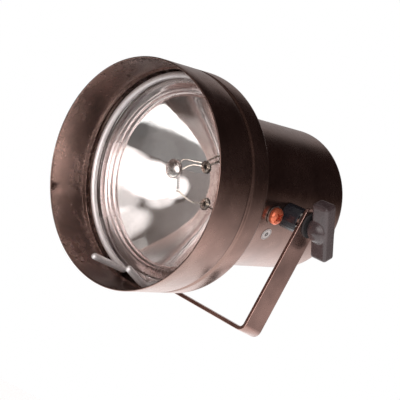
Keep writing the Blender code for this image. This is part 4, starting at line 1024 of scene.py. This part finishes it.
def dress_nodes():
    """Finishes of the pieces whose CAD meshes stay."""
    nylon = moulded_plastic("black_nylon", (0.014, 0.014, 0.015), 0.45, 0.18)
    looks = {
        "earth_screw": copper_plate("copper_screw"),
        "filament": tungsten("tungsten_wire"),
        "transformer_core": laminations("core_stampings"),
        "transformer_winding": winding_tape("yellow_tape"),
        "transformer_bobbin": moulded_plastic("bobbin_nylon", (0.035, 0.035, 0.045), 0.5),
        "terminal_block": moulded_plastic("natural_nylon", (0.74, 0.73, 0.66), 0.5),
        "earth_lead": wire_sleeve("green_sleeve", (0.10, 0.36, 0.06)),
        "primary_lead_a": wire_sleeve("red_sleeve", (0.45, 0.03, 0.03)),
        "primary_lead_b": wire_sleeve("blue_sleeve", (0.03, 0.06, 0.40)),
    }
    groups = {
        ("pivot_spacer",): moulded_plastic("spacer_plastic", (0.010, 0.011, 0.016), 0.24, 0.05),
        ("knob_washer", "gland_"): nylon,
        ("lamp_lead",): wire_sleeve("white_sleeve", (0.74, 0.74, 0.71)),
        ("lamp_tag", "earth_tag"): plated_steel("tinned_tag", (0.68, 0.66, 0.62), 0.26),
        ("earth_nut", "terminal_screw", "lamp_terminal"): brass("plain_brass"),
        ("lamp_ferrule", "filament_post", "shield_post"): nickel("bright_nickel"),
        ("",): plated_steel("bright_zinc"),
    }
    for name, node in NODES.items():
        material = looks.get(name)
        if material is None:
            material = next(m for starts, m in groups.items() if name.startswith(starts))
        node.data.materials.clear()
        node.data.materials.append(material)


# Studio

FLOOR_HEIGHT = -0.16
FLOOR_RADIUS = 0.40
FLOOR_TONE = 0.86
FLOOR_MIRRORED_TONE = 0.30
FLOOR_CAMERA_GLOW = 0.85
PAPER_EDGE = -0.155
PAPER_FADE = 0.014
PAPER_GLOW = 1.8
ROOM_GLOW = 0.10
WHITE = (1.0, 1.0, 1.0, 1.0)

# Level of the room's light by height of its direction: height and level, low end then high end
SWEEP_BEHIND = (-0.75, 0.47, 2.3, 0.012)
ROOM_AHEAD = (-1.0, 0.9, 0.20, 0.05)
AHEAD_TO_BEHIND = (-0.25, 0.15)

# Bright places of the room: azimuth (0 ahead of the lamp, + towards +X), elevation, reach, level
WINDOWS = (
    (20, -8, 18, 3.40),
    (-4, -10, 12, 1.40),
    (6, 4, 13, 1.10),
    (46, -8, 20, 2.00),
    (12, 38, 16, 1.20),
    (30, 20, 12, 0.80),
    (-157, -16, 26, 0.20),
    (-138, 26, 22, 0.42),
)
WINDOW_OUTSIDE = 1.25
WINDOW_INSIDE = 0.6

# Tint of the room's light, what its dark parts lack of each colour, and the least that is left
ROOM_TINT = (1.0, 0.935, 0.930)
ROOM_WARMTH = (0.0, 0.018, 0.026)
ROOM_LEAST = 0.004


def light_path(tree, *rays):
    """One for the named kinds of ray, else nought."""
    path = tree.nodes.new("ShaderNodeLightPath")
    value = path.outputs[rays[0]]
    for ray in rays[1:]:
        value = math_node(tree, "MAXIMUM", value, path.outputs[ray])
    return value


def floor_material():
    """White paper: plain white to the camera, and in reflections bright up to its front edge."""
    material = bpy.data.materials.new("floor_white")
    material.use_nodes = True
    tree = material.node_tree
    shader = tree.nodes["Principled BSDF"]
    tone = map_node(tree, light_path(tree, "Is Glossy Ray"), 0.0, 1.0, FLOOR_TONE, FLOOR_MIRRORED_TONE)
    tree.links.new(tone, shader.inputs["Base Color"])
    shader.inputs["Roughness"].default_value = 0.8
    shader.inputs["Emission Color"].default_value = WHITE
    coords = tree.nodes.new("ShaderNodeTexCoord")
    place = tree.nodes.new("ShaderNodeSeparateXYZ")
    tree.links.new(coords.outputs["Object"], place.inputs["Vector"])
    paper = map_node(tree, place.outputs["Y"], PAPER_EDGE - PAPER_FADE, PAPER_EDGE + PAPER_FADE,
                     ROOM_GLOW, PAPER_GLOW)
    mirrored = light_path(tree, "Is Glossy Ray", "Is Transmission Ray")
    seen = math_node(tree, "MULTIPLY", light_path(tree, "Is Camera Ray"), FLOOR_CAMERA_GLOW)
    level = math_node(tree, "ADD", math_node(tree, "MULTIPLY", mirrored, paper), seen)
    tree.links.new(level, shader.inputs["Emission Strength"])
    return material


def make_floor():
    """Pale floor under the lamp."""
    bpy.ops.mesh.primitive_circle_add(vertices=128, radius=FLOOR_RADIUS, fill_type="NGON",
                                      location=(0, 0, FLOOR_HEIGHT))
    floor = bpy.context.object
    floor.name = "studio_floor"
    floor.data.materials.append(floor_material())


def add_window(tree, coords, level, azimuth, elevation, reach, glow):
    """Add one bright place to the room's level."""
    a, e = radians(azimuth), radians(elevation)
    nearness = tree.nodes.new("ShaderNodeVectorMath")
    nearness.operation = "DOT_PRODUCT"
    nearness.inputs[1].default_value = (sin(a) * cos(e), -cos(a) * cos(e), sin(e))
    tree.links.new(coords, nearness.inputs[0])
    outside = cos(radians(reach * WINDOW_OUTSIDE))
    inside = cos(radians(reach * WINDOW_INSIDE))
    lobe = map_node(tree, nearness.outputs["Value"], outside, inside, 0.0, glow)
    return math_node(tree, "ADD", level, lobe)


def make_world():
    """White to the camera; otherwise white behind and below, dark overhead, lit places in front."""
    world = bpy.data.worlds.new("studio_world")
    world.use_nodes = True
    bpy.context.scene.world = world
    tree = world.node_tree
    tree.nodes.clear()
    coords = tree.nodes.new("ShaderNodeTexCoord").outputs["Generated"]
    axes = tree.nodes.new("ShaderNodeSeparateXYZ")
    tree.links.new(coords, axes.inputs["Vector"])
    sweep = map_node(tree, axes.outputs["Z"], *SWEEP_BEHIND)
    room = map_node(tree, axes.outputs["Z"], *ROOM_AHEAD)
    behind = map_node(tree, axes.outputs["Y"], *AHEAD_TO_BEHIND, 0.0, 1.0)
    ahead = math_node(tree, "SUBTRACT", 1.0, behind)
    level = math_node(tree, "ADD", math_node(tree, "MULTIPLY", sweep, behind),
                      math_node(tree, "MULTIPLY", room, ahead))
    for window in WINDOWS:
        level = add_window(tree, coords, level, *window)
    studio = tree.nodes.new("ShaderNodeBackground")
    tint = tree.nodes.new("ShaderNodeCombineColor")
    for channel, share, lack in zip(tint.inputs, ROOM_TINT, ROOM_WARMTH):
        part = math_node(tree, "SUBTRACT", math_node(tree, "MULTIPLY", level, share), lack)
        tree.links.new(math_node(tree, "MAXIMUM", part, ROOM_LEAST), channel)
    tree.links.new(tint.outputs["Color"], studio.inputs["Color"])
    white = tree.nodes.new("ShaderNodeBackground")
    white.inputs["Color"].default_value = WHITE
    choose = tree.nodes.new("ShaderNodeMixShader")
    out = tree.nodes.new("ShaderNodeOutputWorld")
    tree.links.new(light_path(tree, "Is Camera Ray"), choose.inputs["Fac"])
    tree.links.new(studio.outputs["Background"], choose.inputs[1])
    tree.links.new(white.outputs["Background"], choose.inputs[2])
    tree.links.new(choose.outputs["Shader"], out.inputs["Surface"])


def softbox(name, place, aim, size, watts):
    """Rectangular area light turned to its aim."""
    data = bpy.data.lights.new(name, "AREA")
    data.shape = "RECTANGLE"
    data.size, data.size_y = size
    data.energy = watts
    data.color = (1.0, 0.98, 0.96)
    light = bpy.data.objects.new(name, data)
    bpy.context.scene.collection.objects.link(light)
    light.location = place
    light.rotation_euler = (Vector(aim) - Vector(place)).to_track_quat("-Z", "Y").to_euler()
    return light


def make_lights():
    """A soft overhead light, and a bounce card under the lamp."""
    softbox("overhead", (-0.5, -0.6, 1.1), (0, 0, 0.05), (0.9, 0.7), 0.6)
    card_height = FLOOR_HEIGHT + 0.004
    card = softbox("bounce_card", (0.07, 0.05, card_height), (0.07, 0.05, 1.0), (0.42, 0.38), 0.5)
    card.visible_camera = False
    card.visible_glossy = False
    card.visible_transmission = False


def make_camera():
    """Camera at the photograph's place, turned about its own axis as the photograph is."""
    data = bpy.data.cameras.new("photo_camera")
    data.lens = CAMERA_LENS
    data.sensor_width = CAMERA_SENSOR
    data.clip_start = CAMERA_CLIP
    camera = bpy.data.objects.new("photo_camera", data)
    bpy.context.scene.collection.objects.link(camera)
    level = (CAMERA_AIM - CAMERA_PLACE).to_track_quat("-Z", "Y").to_matrix().to_4x4()
    roll = Matrix.Rotation(CAMERA_ROLL, 4, "Z")
    camera.matrix_world = Matrix.Translation(CAMERA_PLACE) @ level @ roll
    bpy.context.scene.camera = camera


def main():
    """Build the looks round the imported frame."""
    bpy.context.scene.view_settings.view_transform = "Standard"
    dress_nodes()
    can_paint = satin_paint("can_paint", (0.215, 0.140, 0.119))
    make_barrel(can_paint)
    make_housing(can_paint)
    make_sticker(sticker_paper("sticker_paper"), moulded_plastic("sticker_ink", (0.05, 0.05, 0.05)))
    # The yoke's paint is a lighter copy of the can's paint: painted light, for the strap that is lit
    # brighter than the can.
    make_yoke(satin_paint("yoke_paint_lit_lighter", (0.270, 0.172, 0.148)))
    knob_plastic = moulded_plastic("knob_plastic", (0.058, 0.042, 0.044), 0.26)
    zinc = plated_steel("stud_zinc")
    for side in SIDES:
        make_knob(side, knob_plastic)
        make_stud(side, zinc)
    make_ring(drawn_wire("spring_wire"))
    make_reflector(silvered_glass("silvered_glass"))
    make_lens(clear_glass("clear_glass"))
    # The shield's nickel is a paler copy of the posts' nickel: painted highlight, so the small cup
    # reads bright.
    make_shield(nickel("shield_nickel_painted_bright", (0.86, 0.82, 0.80), 0.25))
    make_floor()
    make_world()
    make_lights()
    make_camera()


main()
